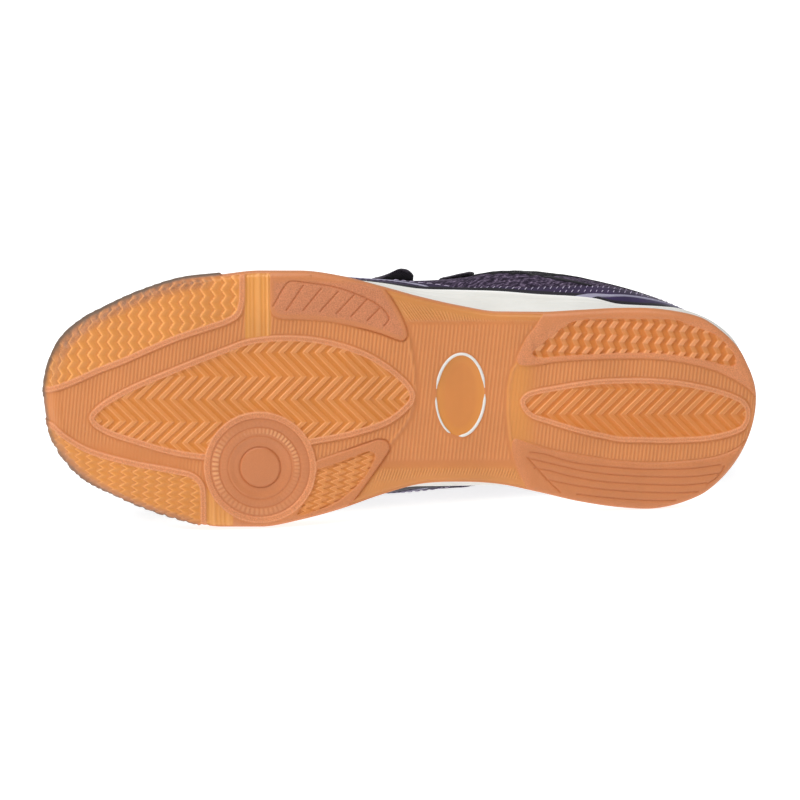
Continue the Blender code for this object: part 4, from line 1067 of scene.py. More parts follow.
    # inside floor: the last ring drawn in to a line along the middle
    last = points[-count:]
    middle = spine_of(last, SOLE_T, loop)
    cap_points, cap_faces = bridge_to_spine(last, middle, len(points) - count, len(points), loop)
    points = np.vstack([points, cap_points])
    colour = np.vstack([colour, np.repeat(slow[None], len(cap_points), 0)])
    grain = np.concatenate([grain, np.full(len(cap_points), 0.3)])
    faces.append(cap_faces)
    faces.append(tris)

    obj = new_mesh("outsole_gum", points, faces)
    paint(obj, "tint", colour)
    extra = np.stack([grain, np.zeros_like(grain), np.zeros_like(grain)], 1)
    paint(obj, "finish", extra)
    tidy(obj)
    thin(obj, OUTSOLE_FACES)
    return obj


def thin(obj, most):
    """Fewer triangles where the surface is even."""
    bpy.context.view_layer.update()
    count = sum(len(f.vertices) - 2 for f in obj.data.polygons)
    if count <= most:
        return
    step = obj.modifiers.new("thin", "DECIMATE")
    step.ratio = most / count
    step.use_collapse_triangulate = True
    shape = bpy.data.meshes.new_from_object(obj.evaluated_get(bpy.context.evaluated_depsgraph_get()))
    obj.modifiers.remove(step)
    old = obj.data
    obj.data = shape
    bpy.data.meshes.remove(old)
    shape.name = obj.name


def zipper(border, match, ring, contour, edge):
    """Triangles between two rings of unlike counts, both running the same way round."""
    n, m = len(border), len(ring)
    away = (match[1:] - match[:-1] + m // 2) % m - m // 2
    if away.sum() < 0:
        border, match = border[::-1], match[::-1]
    begin = match[0]
    where = np.concatenate([[0], np.cumsum((np.roll(match, -1)[:-1] - match[:-1] + m // 2) % m - m // 2)])
    where = np.maximum.accumulate(where)
    tris = []
    i = j = 0
    while i < n or j < m:
        next_i = where[i + 1] if i + 1 < n else m
        if i < n and (j >= m or next_i <= j + 0.5):
            tris.append((border[i % n], ring[(begin + j) % m], border[(i + 1) % n]))
            i += 1
        else:
            tris.append((border[i % n], ring[(begin + j) % m], ring[(begin + j + 1) % m]))
            j += 1
    return np.array(tris)


def spine_of(last, table, loop):
    """A line along the middle, one point for each point of the ring and shared by its partner."""
    key = loop.key
    half = (table.read("outer", key) - table.read("inner", key)) / 2
    x = table.start + 16.0 + (table.x(key) - table.start) * (table.end - table.start - 32.0) / (table.end - table.start)
    return np.column_stack([x, half, last[:, 2]])


def bridge_to_spine(last, middle, ring_start, new_start, loop, steps=3):
    """A ring drawn in to one line, as quads; both sides meet along the line."""
    count = len(last)
    points, faces = [], []
    previous = ring_start + np.arange(count)
    for step in range(1, steps):
        t = step / steps
        points.append(last * (1 - t) + middle * t)
        now = new_start + (step - 1) * count + np.arange(count)
        faces.append(np.stack([previous, np.roll(previous, -1), np.roll(now, -1), now], 1))
        previous = now
    # the line itself: the outer side's points, which the inner side shares
    outer = loop.turn <= math.pi
    line = middle[outer]
    base = new_start + (steps - 1) * count
    points.append(line)
    order = loop.key[outer]
    slot_of = np.empty(count, np.int64)
    slot_of[outer] = np.arange(outer.sum())
    slot_of[~outer] = np.clip(np.searchsorted(order, loop.key[~outer]), 0, outer.sum() - 1)
    now = base + slot_of
    faces.append(np.stack([previous, np.roll(previous, -1), np.roll(now, -1), now], 1))
    return np.vstack(points), np.vstack(faces)


def tidy(obj, doubles=2e-6):
    """Welds points that coincide and turns all faces outward."""
    work = bmesh.new()
    work.from_mesh(obj.data)
    bmesh.ops.remove_doubles(work, verts=work.verts, dist=doubles)
    bmesh.ops.dissolve_degenerate(work, edges=work.edges, dist=1e-7)
    bmesh.ops.recalc_face_normals(work, faces=work.faces)
    if work.calc_volume(signed=True) < 0:
        bmesh.ops.reverse_faces(work, faces=work.faces)
    for f in work.faces:
        f.smooth = True
    work.to_mesh(obj.data)
    work.free()


# ---------------------------------------------------------------- the upper's surface
def form_x(x, h):
    """The back of the heel leans: in at the top line and at the midsole."""
    share = smooth((x - 222.0) / 46.0)
    lean = np.where(h > 50.0, 5.0 * ((h - 50.0) / 40.0) ** 2, 0.2 * ((50.0 - h) / 22.0) ** 2)
    return x - lean * share


def form(key, around):
    """Closed form of the upper. around: degrees, 0 on the outer widest line, 90 on top, 180 on the inner one."""
    key, around = np.broadcast_arrays(np.asarray(key, float), np.asarray(around, float))
    outer = around <= 90
    rise = np.radians(np.where(outer, around, 180 - around))
    half = np.where(outer, FORM_T.read("outer", key), -FORM_T.read("inner", key))
    shift, widest, top = (FORM_T.read(name, key) for name in ("shift", "widest", "top"))
    power = 2 / np.where(outer, FORM_T.read("square", key), FORM_T.read("inner_square", key))
    v = shift + (half - shift) * np.maximum(np.cos(rise), 0) ** power
    h = widest + (top - widest) * np.maximum(np.sin(rise), 0) ** power
    return np.stack([form_x(FORM_T.x(key), h), v, h], -1)


def wall(key, around):
    """The form with its lower part, down to the midsole's lip at -LOWER or 180 + LOWER and into the tray."""
    key, around = np.broadcast_arrays(np.asarray(key, float), np.asarray(around, float))
    up = form(key, np.clip(around, 0, 180))
    outer = around < 90
    turn = np.where(outer, key, 2 * math.pi - key)
    small = 0.004
    foot = plan(RIM_T, turn)
    along = plan(RIM_T, turn + small) - plan(RIM_T, turn - small)
    along /= np.linalg.norm(along, axis=-1, keepdims=True)
    foot = foot - np.stack([-along[..., 1], along[..., 0]], -1) * (LIP + GAP)
    lip = rim(foot[..., 0]) - 0.4
    t = 1 + np.minimum(np.where(outer, around, 180 - around), 0) / LOWER
    share = 1 - (1 - np.clip(t, 0, 1)) ** 1.7
    low = np.stack([foot[..., 0] + (up[..., 0] - foot[..., 0]) * share, foot[..., 1] + (up[..., 1] - foot[..., 1]) * share,
                    lip + (up[..., 2] - lip) * np.clip(t, 0, 1) + np.minimum(t, 0) * 28.0], -1)
    return np.where((t < 1)[..., None], low, up)


def normals(key, around):
    k = np.clip(key, 0.02, math.pi - 0.02)
    da, dk = 0.4, 0.004
    a = wall(k, around + da) - wall(k, around - da)
    b = wall(k + dk, around) - wall(k - dk, around)
    n = np.cross(a, b)
    ends = (np.asarray(key) < 1e-6) | (np.asarray(key) > math.pi - 1e-6)
    n[..., 1] = np.where(np.broadcast_to(ends, n.shape[:-1]), 0.0, n[..., 1])
    return n / np.maximum(np.linalg.norm(n, axis=-1, keepdims=True), 1e-9)


def relief(key, around):
    """Soft creases, in mm off the surface."""
    x = FORM_T.x(np.asarray(key, float)) + 0.0 * np.asarray(around, float)
    out = np.zeros(x.shape)
    across = 0.78 * (np.asarray(around, float) + 0.0 * x)
    for x1, a1, x2, a2, depth, width in CREASES[1:]:
        line = curve([(x1, 0.78 * a1), ((x1 + x2) / 2 + 0.06 * (a2 - a1), 0.39 * (a1 + a2)), (x2, 0.78 * a2)], False, 2.0)
        k = (np.abs(x - (x1 + x2) / 2) < abs(x2 - x1) / 2 + 5 * width) & (np.abs(across - 0.39 * (a1 + a2)) < 0.39 * abs(a2 - a1) + 5 * width)
        if not k.any():
            continue
        d = distance_to(x[k], across[k], line)
        out[k] += -depth * np.exp(-(d / width) ** 2) + 0.4 * depth * np.exp(-((d - 2.1 * width) / (1.1 * width)) ** 2)
    return out


def on_wall(key, around, off=0.0, creased=True):
    """Point off the upper's outer face."""
    key, around = np.broadcast_arrays(np.asarray(key, float), np.asarray(around, float))
    far = np.broadcast_to(np.asarray(off, float), key.shape)
    if creased:
        far = far + relief(key, around)
    return wall(key, around) + normals(key, around) * far[..., None]


def skin(turn, rise, off=0.0, creased=True):
    """The same, with turn going round the shoe and rise from the lip up on either side."""
    turn, rise = np.broadcast_arrays(np.asarray(turn, float) % (2 * math.pi), np.asarray(rise, float))
    outer = turn <= math.pi
    return on_wall(np.where(outer, turn, 2 * math.pi - turn), np.where(outer, rise, 180 - rise), off, creased)


def cut_at(key):
    """Where the opening ends the upper, degrees round it."""
    return np.where(np.asarray(key) <= THROAT + 1e-6, 90.0, np.minimum(88.0, FORM_T.read("cut", key)))


def turn_at(x, outer=True):
    key = FORM_T.angle(x)
    return key if outer else 2 * math.pi - key


def quads(rows, cols, base=0, closed=False):
    """Faces of a grid of points in row order; closed joins the last column to the first."""
    i = np.arange(rows - 1)[:, None]
    j = np.arange(cols if closed else cols - 1)[None]
    k = (j + 1) % cols
    return np.stack([base + i * cols + j, base + i * cols + k, base + (i + 1) * cols + k, base + (i + 1) * cols + j],
                    -1).reshape(-1, 4)


def lengths(points, axis):
    step = np.linalg.norm(np.diff(points, axis=axis), axis=-1)
    zero = np.zeros_like(np.take(step, [0], axis=axis))
    return np.concatenate([zero, np.cumsum(step, axis=axis)], axis=axis)


def build_upper():
    count, low, high = 320, 15, 42
    keys = math.pi * np.arange(count + 1) / count
    front = int(round(THROAT / math.pi * count))
    keys[front] = THROAT
    cut = cut_at(keys)
    u = np.linspace(0, 1, high + 1)[1:] ** 1.3
    rise = np.concatenate([np.linspace(-LOWER * 1.1, 0, low)[None] + 0 * keys[:, None], cut[:, None] * u[None]], 1)
    cols = rise.shape[1]
    points, flat, faces, inside = [], [], [], []
    at = 0
    edges = {}
    x = FORM_T.x(keys)
    for outer in (True, False):
        around = rise if outer else 180 - rise
        k2 = np.broadcast_to(keys[:, None], rise.shape)
        face = on_wall(k2, around)
        below = lengths(face[:, ::-1], 1)[:, ::-1]               # mm down from the opening or the top
        pad = smooth((x - 163.0) / 12.0)[:, None] * np.exp(-((below - 11.0) / 8.0) ** 2) * 1.6
        lining = on_wall(k2, around, -WALL - pad, False)
        along = lengths(wall(keys, 0.0 * keys + (0 if outer else 180)), 0)
        for layer, name in ((face, "face"), (lining, "lining")):
            points.append(layer.reshape(-1, 3))
            tex = np.stack([np.broadcast_to(along[:, None], below.shape), below if outer else -below, 0 * below], -1)
            flat.append(tex.reshape(-1, 3))
            f = quads(count + 1, cols, at)
            faces.append(f)
            inside.append(np.full(len(f), name == "lining"))
            edges[outer, name] = at + np.arange(count + 1) * cols + cols - 1
            edges[outer, name, "foot"] = at + np.arange(count + 1) * cols
            at += layer.shape[0] * cols
    for outer in (True, False):
        a, b = edges[outer, "face"][front:], edges[outer, "lining"][front:]
        strip = np.stack([a[:-1], a[1:], b[1:], b[:-1]], 1)
        a, b = edges[outer, "face", "foot"], edges[outer, "lining", "foot"]
        strip = np.vstack([strip, np.stack([a[:-1], a[1:], b[1:], b[:-1]], 1)])
        faces.append(strip)
        inside.append(np.full(len(strip), True))
    obj = new_mesh("upper_shell", np.vstack(points), faces)
    layer = obj.data.attributes.new("flat", "FLOAT_VECTOR", "POINT")
    layer.data.foreach_set("vector", np.vstack(flat).astype(np.float32).ravel())
    obj.data.polygons.foreach_set("material_index", np.concatenate(inside).astype(np.int32))
    tidy(obj)
    return obj


def panel(name, turns, low, high, thick=0.5, rows=14, edge=1.1, under=-0.45, creased=True):
    """Thin closed patch on the upper, between two borders that run along it."""
    turns, low, high = (np.asarray(a, float) for a in np.broadcast_arrays(turns, low, high))
    u = 0.5 - 0.5 * np.cos(np.linspace(0, math.pi, rows))
    u = 0.35 * u + 0.65 * np.linspace(0, 1, rows)
    rise = low[:, None] + (high - low)[:, None] * u[None]
    base = skin(turns[:, None], rise, 0.0, False)
    up = lengths(base, 1)
    along = lengths(base, 0)
    d = np.minimum.reduce([up, up[:, -1:] - up, along, along[-1:] - along])
    full = np.clip(d / edge, 0, 1)
    tuck = smooth((rise + LOWER + 1.0) / 4.0)
    top = under + (thick * (0.35 + 0.65 * tuck) - under) * np.sqrt(1 - (1 - full) ** 2)
    face = skin(turns[:, None], rise, top, creased)
    back = skin(turns[:, None], rise, under - 0.2, creased)
    n, m = face.shape[:2]
    faces = [quads(n, m), quads(n, m, n * m)[:, ::-1]]
    ring = np.concatenate([np.arange(m), np.arange(1, n) * m + m - 1, (n - 1) * m + np.arange(m - 2, -1, -1),
                           np.arange(n - 2, 0, -1) * m])
    faces.append(np.stack([ring, np.roll(ring, -1), np.roll(ring, -1) + n * m, ring + n * m], 1))
    obj = new_mesh(name, np.vstack([face.reshape(-1, 3), back.reshape(-1, 3)]), faces)
    flat = np.stack([along, up, 0 * up], -1).reshape(-1, 3)
    layer = obj.data.attributes.new("flat", "FLOAT_VECTOR", "POINT")
    layer.data.foreach_set("vector", np.vstack([flat, flat]).astype(np.float32).ravel())
    tidy(obj)
    return obj


def cord_on(name, points, normal, wide, high, sides=10, closed=False):
    """Rounded cord along points, wide across the surface and high along its normal; joined into one mesh by the caller."""
    points, normal = np.asarray(points, float), np.asarray(normal, float)
    if closed:
        along = np.roll(points, -1, 0) - np.roll(points, 1, 0)
    else:
        along = np.gradient(points, axis=0)
    along /= np.linalg.norm(along, axis=1, keepdims=True)
    side = np.cross(along, normal)
    side /= np.linalg.norm(side, axis=1, keepdims=True)
    up = np.cross(side, along)
    t = np.linspace(0, 2 * math.pi, sides, endpoint=False)
    wide, high = (np.broadcast_to(np.asarray(a, float), (len(points),))[:, None, None] for a in (wide, high))
    rings = points[:, None] + side[:, None] * np.cos(t)[None, :, None] * wide / 2 + up[:, None] * np.sin(t)[None, :, None] * high / 2
    n = len(points)
    verts = rings.reshape(-1, 3)
    faces = [quads(n, sides, 0, True)]
    if closed:
        a = (n - 1) * sides + np.arange(sides)
        b = np.arange(sides)
        faces.append(np.stack([a, np.roll(a, -1), np.roll(b, -1), b], 1))
    else:
        verts = np.vstack([verts, points[:1], points[-1:]])
        for centre, start in ((n * sides, 0), (n * sides + 1, (n - 1) * sides)):
            a = start + np.arange(sides)
            faces.append(np.stack([a, np.roll(a, -1), np.full(sides, centre)], 1))
    return verts, faces


def joined(name, pieces):
    """One mesh of several parts."""
    verts, faces, base = [], [], 0
    for v, f in pieces:
        verts.append(v)
        faces += [g + base for g in f]
        base += len(v)
    obj = new_mesh(name, np.vstack(verts), faces)
    tidy(obj, 1e-7)
    return obj


def spaced(turns, rises, off, step):
    """Places at even steps of a line on the upper: turns and rises there."""
    turns, rises = np.asarray(turns, float), np.asarray(rises, float)
    p = skin(turns, rises, off, False)
    far = np.concatenate([[0], np.cumsum(np.linalg.norm(np.diff(p, axis=0), axis=1))])
    count = max(2, int(round(far[-1] / step)) + 1)
    at = np.linspace(0, far[-1], count)
    return np.interp(at, far, turns), np.interp(at, far, rises)


def on_line(rows, outer=True, step=1.0):
    """Fine line on the upper through rows of x and rise."""
    rows = np.array(rows, float)
    fine = curve(rows, False, 1.0)
    turns = np.array([turn_at(x, outer) for x in fine[:, 0]])
    return spaced(turns, fine[:, 1], 0.0, step)


def line_cord(rows, outer, wide, high, off, sides=10):
    turns, rises = on_line(rows, outer)
    centre = skin(turns, rises, off)
    n = skin(turns, rises, off + 1.0) - centre
    if not np.isscalar(wide):
        wide = np.interp(np.linspace(0, 1, len(turns)), np.linspace(0, 1, len(wide)), wide)
    if not np.isscalar(high):
        high = np.interp(np.linspace(0, 1, len(turns)), np.linspace(0, 1, len(high)), high)
    return cord_on("", centre, n, wide, high, sides)


def stitch(at, along, normal, length, thick):
    """One stitch: a short thread that dips at both ends."""
    t = np.array([-0.5, -0.38, 0.0, 0.38, 0.5])
    lift = np.array([-0.45, 0.12, 0.32, 0.12, -0.45]) * thick
    points = at + along * (t * length)[:, None] + normal * lift[:, None]
    return cord_on("", points, np.repeat(normal[None], 5, 0), thick * np.array([0.6, 1, 1, 1, 0.6]), thick * 0.8, 6)


def stitches_on(turns, rises, off, pitch, length, thick, slant=0.0):
    turns, rises = spaced(turns, rises, off, pitch)
    centre = skin(turns, rises, off)
    n = skin(turns, rises, off + 1.0) - centre
    n /= np.linalg.norm(n, axis=1, keepdims=True)
    along = np.gradient(centre, axis=0)
    along /= np.linalg.norm(along, axis=1, keepdims=True)
    side = np.cross(n, along)
    way = along * math.cos(math.radians(slant)) + side * math.sin(math.radians(slant))
    return [stitch(c, w, m, length, thick) for c, w, m in zip(centre, way, n)]


def build_collar():
    """Padded roll on the opening's edge, from strap to strap round the heel."""
    start, end = turn_at(166.0), 2 * math.pi - turn_at(166.0)
    coarse = np.linspace(start, end, 900)
    key = np.where(coarse <= math.pi, coarse, 2 * math.pi - coarse)
    turns, rises = spaced(coarse, cut_at(key), 0.0, 1.15)
    n = len(turns)
    edge = skin(turns, rises, 0.0, False)
    lower = skin(turns, rises - 1.0, 0.0, False)
    up = edge - lower
    per = np.linalg.norm(up, axis=1)                     # mm for one degree
    up /= per[:, None]
    out = skin(turns, rises, 1.0, False) - edge
    profile = np.array([
        (0.15, -5.4), (0.75, -4.6), (1.15, -3.2), (1.35, -1.6), (1.25, 0.0), (0.75, 1.5), (-0.2, 2.5), (-1.5, 3.0),
        (-2.9, 2.7), (-4.1, 1.6), (-4.9, -0.2), (-5.5, -2.8), (-6.0, -6.0), (-6.2, -9.5), (-6.0, -13.0), (-5.4, -16.5),
        (-4.5, -20.0), (-3.5, -23.0), (-2.5, -25.0), (-1.9, -24.2), (-1.5, -19.0), (-1.2, -13.0), (-1.0, -8.0),
        (-0.6, -5.6)])
    fine = curve(profile, True, 1.0)
    fade = smooth(np.minimum(np.arange(n), np.arange(n)[::-1]) / 14.0)
    rings = []
    for a, b in fine:
        size = 0.32 + 0.68 * fade
        a_now = np.where(a > -1.0, a * size, -1.0 + (a + 1.0) * size)
        b_now = b * size
        under = np.minimum(b_now, 0.0)
        p = skin(turns, rises + under / per, 0.0, False)
        q = skin(turns, rises + under / per, 1.0, False) - p
        ripple = 0.12 * np.sin(turns * 61.0 + b * 0.3) * (a < -3.0)
        rings.append(p + q * (a_now + ripple)[:, None] + up * np.maximum(b_now, 0.0)[:, None])
    m = len(rings)
    grid = np.stack(rings, 1)
    faces = [quads(n, m, 0, True)]
    centre = grid.mean(1)
    verts = np.vstack([grid.reshape(-1, 3), centre[:1], centre[-1:]])
    for mid, first in ((n * m, 0), (n * m + 1, (n - 1) * m)):
        a = first + np.arange(m)
        faces.append(np.stack([a, np.roll(a, -1), np.full(m, mid)], 1))
    obj = new_mesh("collar_padding", verts, faces)
    far = lengths(grid, 0).reshape(-1)
    roll = lengths(grid, 1).reshape(-1)
    flat = np.stack([far, roll, 0 * far], -1)
    flat = np.vstack([flat, flat[:1], flat[-1:]])
    layer = obj.data.attributes.new("flat", "FLOAT_VECTOR", "POINT")
    layer.data.foreach_set("vector", flat.astype(np.float32).ravel())
    tidy(obj)
    return obj


def build_midsole():
    count = 460
    sole = Loop(SOLE_T, count)
    upper = Loop(RIM_T, count, sole.turn)
    turn_x = sole.point[:, 0]
    side = CUP_WALL + 0.5 + GAP + 0.15
    under = lambda p: ground(p[:, 0]) + SOLE_THICK + GAP
    step = lambda p: wall_top(p[:, 0]) + GAP
    rings = []

    def ring(loop, distance, height):
        p = loop.inset(distance)
        rings.append(np.column_stack([p, height(p)]))

    ring(sole, side, under)
    ring(sole, CUP_WALL + GAP + 0.1, step)
    ring(sole, 1.6, step)
    ring(sole, 0.85, step)
    low, high = sole.inset(0.5), upper.inset(0.0)
    bottom, top = wall_top(low[:, 0]) + GAP + 0.5, rim(high[:, 0]) - 0.9
    tall = top - bottom
    for share in np.concatenate([[0.0, 0.012], np.linspace(0.03, 1.0, 34)]):
        p = low + (high - low) * (share - 0.10 * math.sin(math.pi * share))
        h = bottom + tall * share
        line = (0.40 * np.exp(-((top - h - 2.3) / 0.42) ** 2) + 0.22 * np.exp(-((top - h - 5.6) / 0.5) ** 2) * smooth((tall - 8.5) / 3)
                + 0.22 * np.exp(-((h - bottom - 2.2) / 0.5) ** 2) * smooth((tall - 7.0) / 3))
        bead = 0.22 * np.exp(-((top - h - 0.8) / 0.9) ** 2)
        swell = 0.25 * np.exp(-((top - h - 4.0) / 1.1) ** 2) * smooth((tall - 8.5) / 3)
        p = p + (sole.out * (1 - share) + upper.out * share) * (bead + swell - line - (0.25 if share == 0.0 else 0.0))[:, None]
        rings.append(np.column_stack([p, h]))
    for degrees in (20, 45, 70, 90):
        t = math.radians(degrees)
        p = upper.inset(0.75 * (1 - math.cos(t)) - 0.1 * math.cos(t))
        rings.append(np.column_stack([p, rim(p[:, 0]) - 0.9 + 0.9 * math.sin(t)]))
    lip = lambda drop: (lambda p: rim(p[:, 0]) - drop)
    for distance, drop in ((LIP - 0.75, 0.0), (LIP - 0.35, 0.12), (LIP - 0.05, 0.45), (LIP, 0.9), (LIP, 2.2), (LIP, TRAY)):
        ring(upper, distance, lip(drop))
    points = np.vstack(rings)
    faces = [quads(len(rings), count, 0, True)]
    more = [points]
    at = len(points)
    for number, (loop, table, height) in enumerate(((sole, SOLE_T, under), (upper, RIM_T, lip(TRAY)))):
        last = rings[0] if number == 0 else rings[-1]
        line = spine_of(last, table, loop)
        line[:, 2] = height(line)
        ring_start = 0 if number == 0 else (len(rings) - 1) * count
        extra, f = bridge_to_spine(last, line, ring_start, at, loop)
        more.append(extra)
        faces.append(f)
        at += len(extra)
    obj = new_mesh("midsole_foam", np.vstack(more), faces)
    # green channel of finish: painted highlight along the lip's top and along the foot next to the gum
    pale = np.zeros((at, 3))
    lips = np.zeros(len(rings))
    lips[3:7] = (0.9, 1.0, 1.0, 0.6)
    lips[-14:-6] = (0.2, 0.6, 1.0, 1.0, 1.0, 1.0, 1.0, 1.0)
    pale[:len(points), 1] = np.repeat(lips, count)
    paint(obj, "finish", pale)
    tidy(obj)
    return obj


def build_insole():
    count = 260
    loop = Loop(RIM_T, count)
    edge = LIP + GAP + WALL + GAP + 0.3
    base = lambda p: rim(p[:, 0]) - TRAY + GAP
    heel = lambda p: smooth((p[:, 0] - 130.0) / 90.0)
    rings = []

    def ring(distance, height):
        p = loop.inset(distance)
        rings.append(np.column_stack([p, height(p)]))

    ring(edge + 0.8, base)
    ring(edge + 0.15, lambda p: base(p) + 0.35)
    ring(edge, lambda p: base(p) + 1.2)
    ring(edge, lambda p: base(p) + INSOLE_THICK + 1.5 * heel(p) - 1.2)
    ring(edge + 0.2, lambda p: base(p) + INSOLE_THICK + 1.5 * heel(p) - 0.45)
    ring(edge + 0.8, lambda p: base(p) + INSOLE_THICK + 1.5 * heel(p))
    ring(edge + 2.0, lambda p: base(p) + INSOLE_THICK + 1.4 * heel(p))
    ring(edge + 4.0, lambda p: base(p) + INSOLE_THICK + 1.0 * heel(p))
    ring(edge + 7.0, lambda p: base(p) + INSOLE_THICK + 0.4 * heel(p))
    points, faces, at = [np.vstack(rings)], [quads(len(rings), count, 0, True)], len(rings) * count
    for number in (0, 1):
        last = rings[0] if number == 0 else rings[-1]
        line = spine_of(last, RIM_T, loop)
        line[:, 2] = base(line) + (0.0 if number == 0 else INSOLE_THICK - 0.5 * heel(line))
        extra, f = bridge_to_spine(last, line, 0 if number == 0 else (len(rings) - 1) * count, at, loop, 3 if number == 0 else 12)
        points.append(extra)
        faces.append(f)
        at += len(extra)
    everything = np.vstack(points)
    obj = new_mesh("insole_liner", everything, faces)
    layer = obj.data.attributes.new("flat", "FLOAT_VECTOR", "POINT")
    layer.data.foreach_set("vector", (everything * [1, 1, 0]).astype(np.float32).ravel())
    tidy(obj)
    return obj


def form_out(key, around, distance):
    key, around = np.broadcast_arrays(np.asarray(key, float), np.asarray(around, float))
    a = form(np.minimum(math.pi, key + 0.004), around) - form(np.maximum(0, key - 0.004), around)
    r = form(key, np.minimum(180, around + 0.4)) - form(key, np.maximum(0, around - 0.4))
    n = np.cross(r, a)
    n /= np.linalg.norm(n, axis=-1, keepdims=True)
    return form(key, around) + n * np.broadcast_to(distance, key.shape)[..., None]


def around_for(key, v):
    shift = FORM_T.read("shift", key)
    outer = v >= shift
    half = np.where(outer, FORM_T.read("outer", key), -FORM_T.read("inner", key))
    power = np.where(outer, FORM_T.read("square", key), FORM_T.read("inner_square", key)) / 2
    share = np.clip((v - shift) / (half - shift), 0, 1)
    rise = np.degrees(np.arccos(share ** power))
    return np.where(outer, rise, 180 - rise)


def build_tongue():
    across = 44
    x = np.linspace(82.0, 172.0, 92)
    key = FORM_T.angle(x)
    shift = FORM_T.read("shift", key)
    half = between([row[0] for row in TONGUE[1:]], [row[1] for row in TONGUE[1:]], x)
    thick = 5.0 * np.minimum(1.0, 0.35 + 0.65 * (x - 82.0) / 24.5)
    u = np.sin(np.linspace(-math.pi / 2, math.pi / 2, across + 1))
    k2, u2 = key[:, None] + 0 * u[None], 0 * x[:, None] + u[None]
    around = around_for(k2, (shift[:, None] + half[:, None] * u2))
    quilt = np.zeros_like(u2)
    for place_x in (96.0, 108.0, 120.0, 147.0, 171.0):
        quilt += np.exp(-((x[:, None] + 2.5 * u2 ** 2 - place_x) / 1.3) ** 2)
    quilt = 0.55 * np.minimum(quilt, 1.0) * (1 - u2 ** 8)
    full = 1 - np.abs(u2) ** 3.2
    body = 1.8 + (thick[:, None] - 1.8) * (1 - u2 ** 2)
    body = np.where(thick[:, None] > 1.8, body, thick[:, None])
    rounded = 0.75 * (1 - np.sqrt(np.clip(1 - np.maximum(np.abs(u2) - 0.93, 0) ** 2 / 0.0049, 0, 1)))
    outer = form_out(k2, around, -(WALL + TUCK) - quilt * full - rounded)
    inner = form_out(k2, around, -(WALL + TUCK + body) + quilt * 0.5 * full + rounded)
    # above the form: shifted back, up and narrowing
    steps = np.array([(0.0, 0.0, 1.0), (2.5, 4.0, 1.0), (5.5, 9.5, 0.985), (7.8, 14.0, 0.88), (8.8, 16.4, 0.70), (9.0, 17.0, 0.55)])
    line = curve(steps[:, :2], False, 0.6)
    share = np.interp(line[:, 1], steps[:, 1], steps[:, 2])
    share = between(steps[:, 1], steps[:, 2], line[:, 1])
    grow = 1 - 0.75 * smooth((line[:, 1] - 12.5) / 4.5)
    middle = (outer[-1].mean(0) + inner[-1].mean(0)) / 2
    tops_o, tops_i = [], []
    for (back, rise), s, g in zip(line[1:], share[1:], grow[1:]):
        for store, base, other in ((tops_o, outer[-1], inner[-1]), (tops_i, inner[-1], outer[-1])):
            p = (base + other) / 2 + (base - other) / 2 * g
            swell = 0.8 * math.sin(math.pi * min(rise / 14.0, 1.0)) * (1 - u ** 2)
            d = (base - other) / np.maximum(np.linalg.norm(base - other, axis=1, keepdims=True), 1e-6)
            q = p + d * swell[:, None]
            store.append(np.column_stack([q[:, 0] + back, middle[1] + (q[:, 1] - middle[1]) * s, q[:, 2] + rise]))
    outer = np.vstack([outer, np.array(tops_o)])
    inner = np.vstack([inner, np.array(tops_i)])
    n = len(outer)
    grid = np.concatenate([outer, inner[:, ::-1]], 1)
    m = grid.shape[1]
    faces = [quads(n, m, 0, True)]
    for first in (0, (n - 1) * m):
        j = np.arange(across)
        faces.append(np.stack([first + j, first + j + 1, first + m - 2 - j, first + m - 1 - j], 1))
    obj = new_mesh("tongue_padding", grid.reshape(-1, 3), faces)
    along = lengths(outer[:, across // 2], 0)
    flat = np.zeros(grid.shape)
    flat[..., 0] = along[:, None]
    flat[:, :across + 1, 1] = lengths(outer, 1)
    flat[:, across + 1:, 1] = lengths(outer, 1)[:, ::-1]
    layer = obj.data.attributes.new("flat", "FLOAT_VECTOR", "POINT")
    layer.data.foreach_set("vector", flat.reshape(-1, 3).astype(np.float32).ravel())
    tidy(obj)
    # binding round the tongue's edge
    rim_line = np.vstack([(outer[:, 0] + inner[:, 0]) / 2, (outer[-1, 1:-1] + inner[-1, 1:-1]) / 2,
                          ((outer[:, -1] + inner[:, -1]) / 2)[::-1]])
    keep = [0]
    for i in range(1, len(rim_line)):
        if np.linalg.norm(rim_line[i] - rim_line[keep[-1]]) > 0.9:
            keep.append(i)
    rim_line = rim_line[keep]
    face_way = np.repeat(((outer[:, across // 2] - inner[:, across // 2]).mean(0))[None], len(rim_line), 0)
    binding = joined("tongue_binding", [cord_on("", rim_line, face_way, 2.2, 2.5, 12)])
    return obj, binding


def strap_point(row, t, u, off, free_lift=True):
    """Point on a strap: t from the free to the fixed end, u across it from toe side to heel side."""
    s = dict(zip(STRAPS[0], row))
    span = s["fixed"] - s["free"]
    run, back = t * span * 0.95, (1 - t) * span * 0.95
    half = s["width"] / 2 * np.where(run < 5.0, 0.5 + 0.5 * np.sqrt(np.clip(1 - (1 - np.minimum(run, 5.0) / 5.0) ** 2, 0, 1)), 1.0)
    half = half * np.where(back < 2.0, 0.85 + 0.15 * back / 2.0, 1.0)
    key = FORM_T.angle(s["x"] + s["slant"] * t + half * u)
    around = s["free"] + span * t + 0.0 * u
    bow = np.interp(u, (-1.0, -0.6, -0.18, 0.1, 0.32, 0.6, 0.8, 0.92, 1.0), (0.0, 0.21, 0.46, 0.64, 0.78, 0.85, 0.80, 0.70, 0.55))
    lift = s["lift"] * np.maximum(0.0, 1 - run / 16.0) ** 2 * bow
    return form_out(key, around, 0.30 + lift + off)


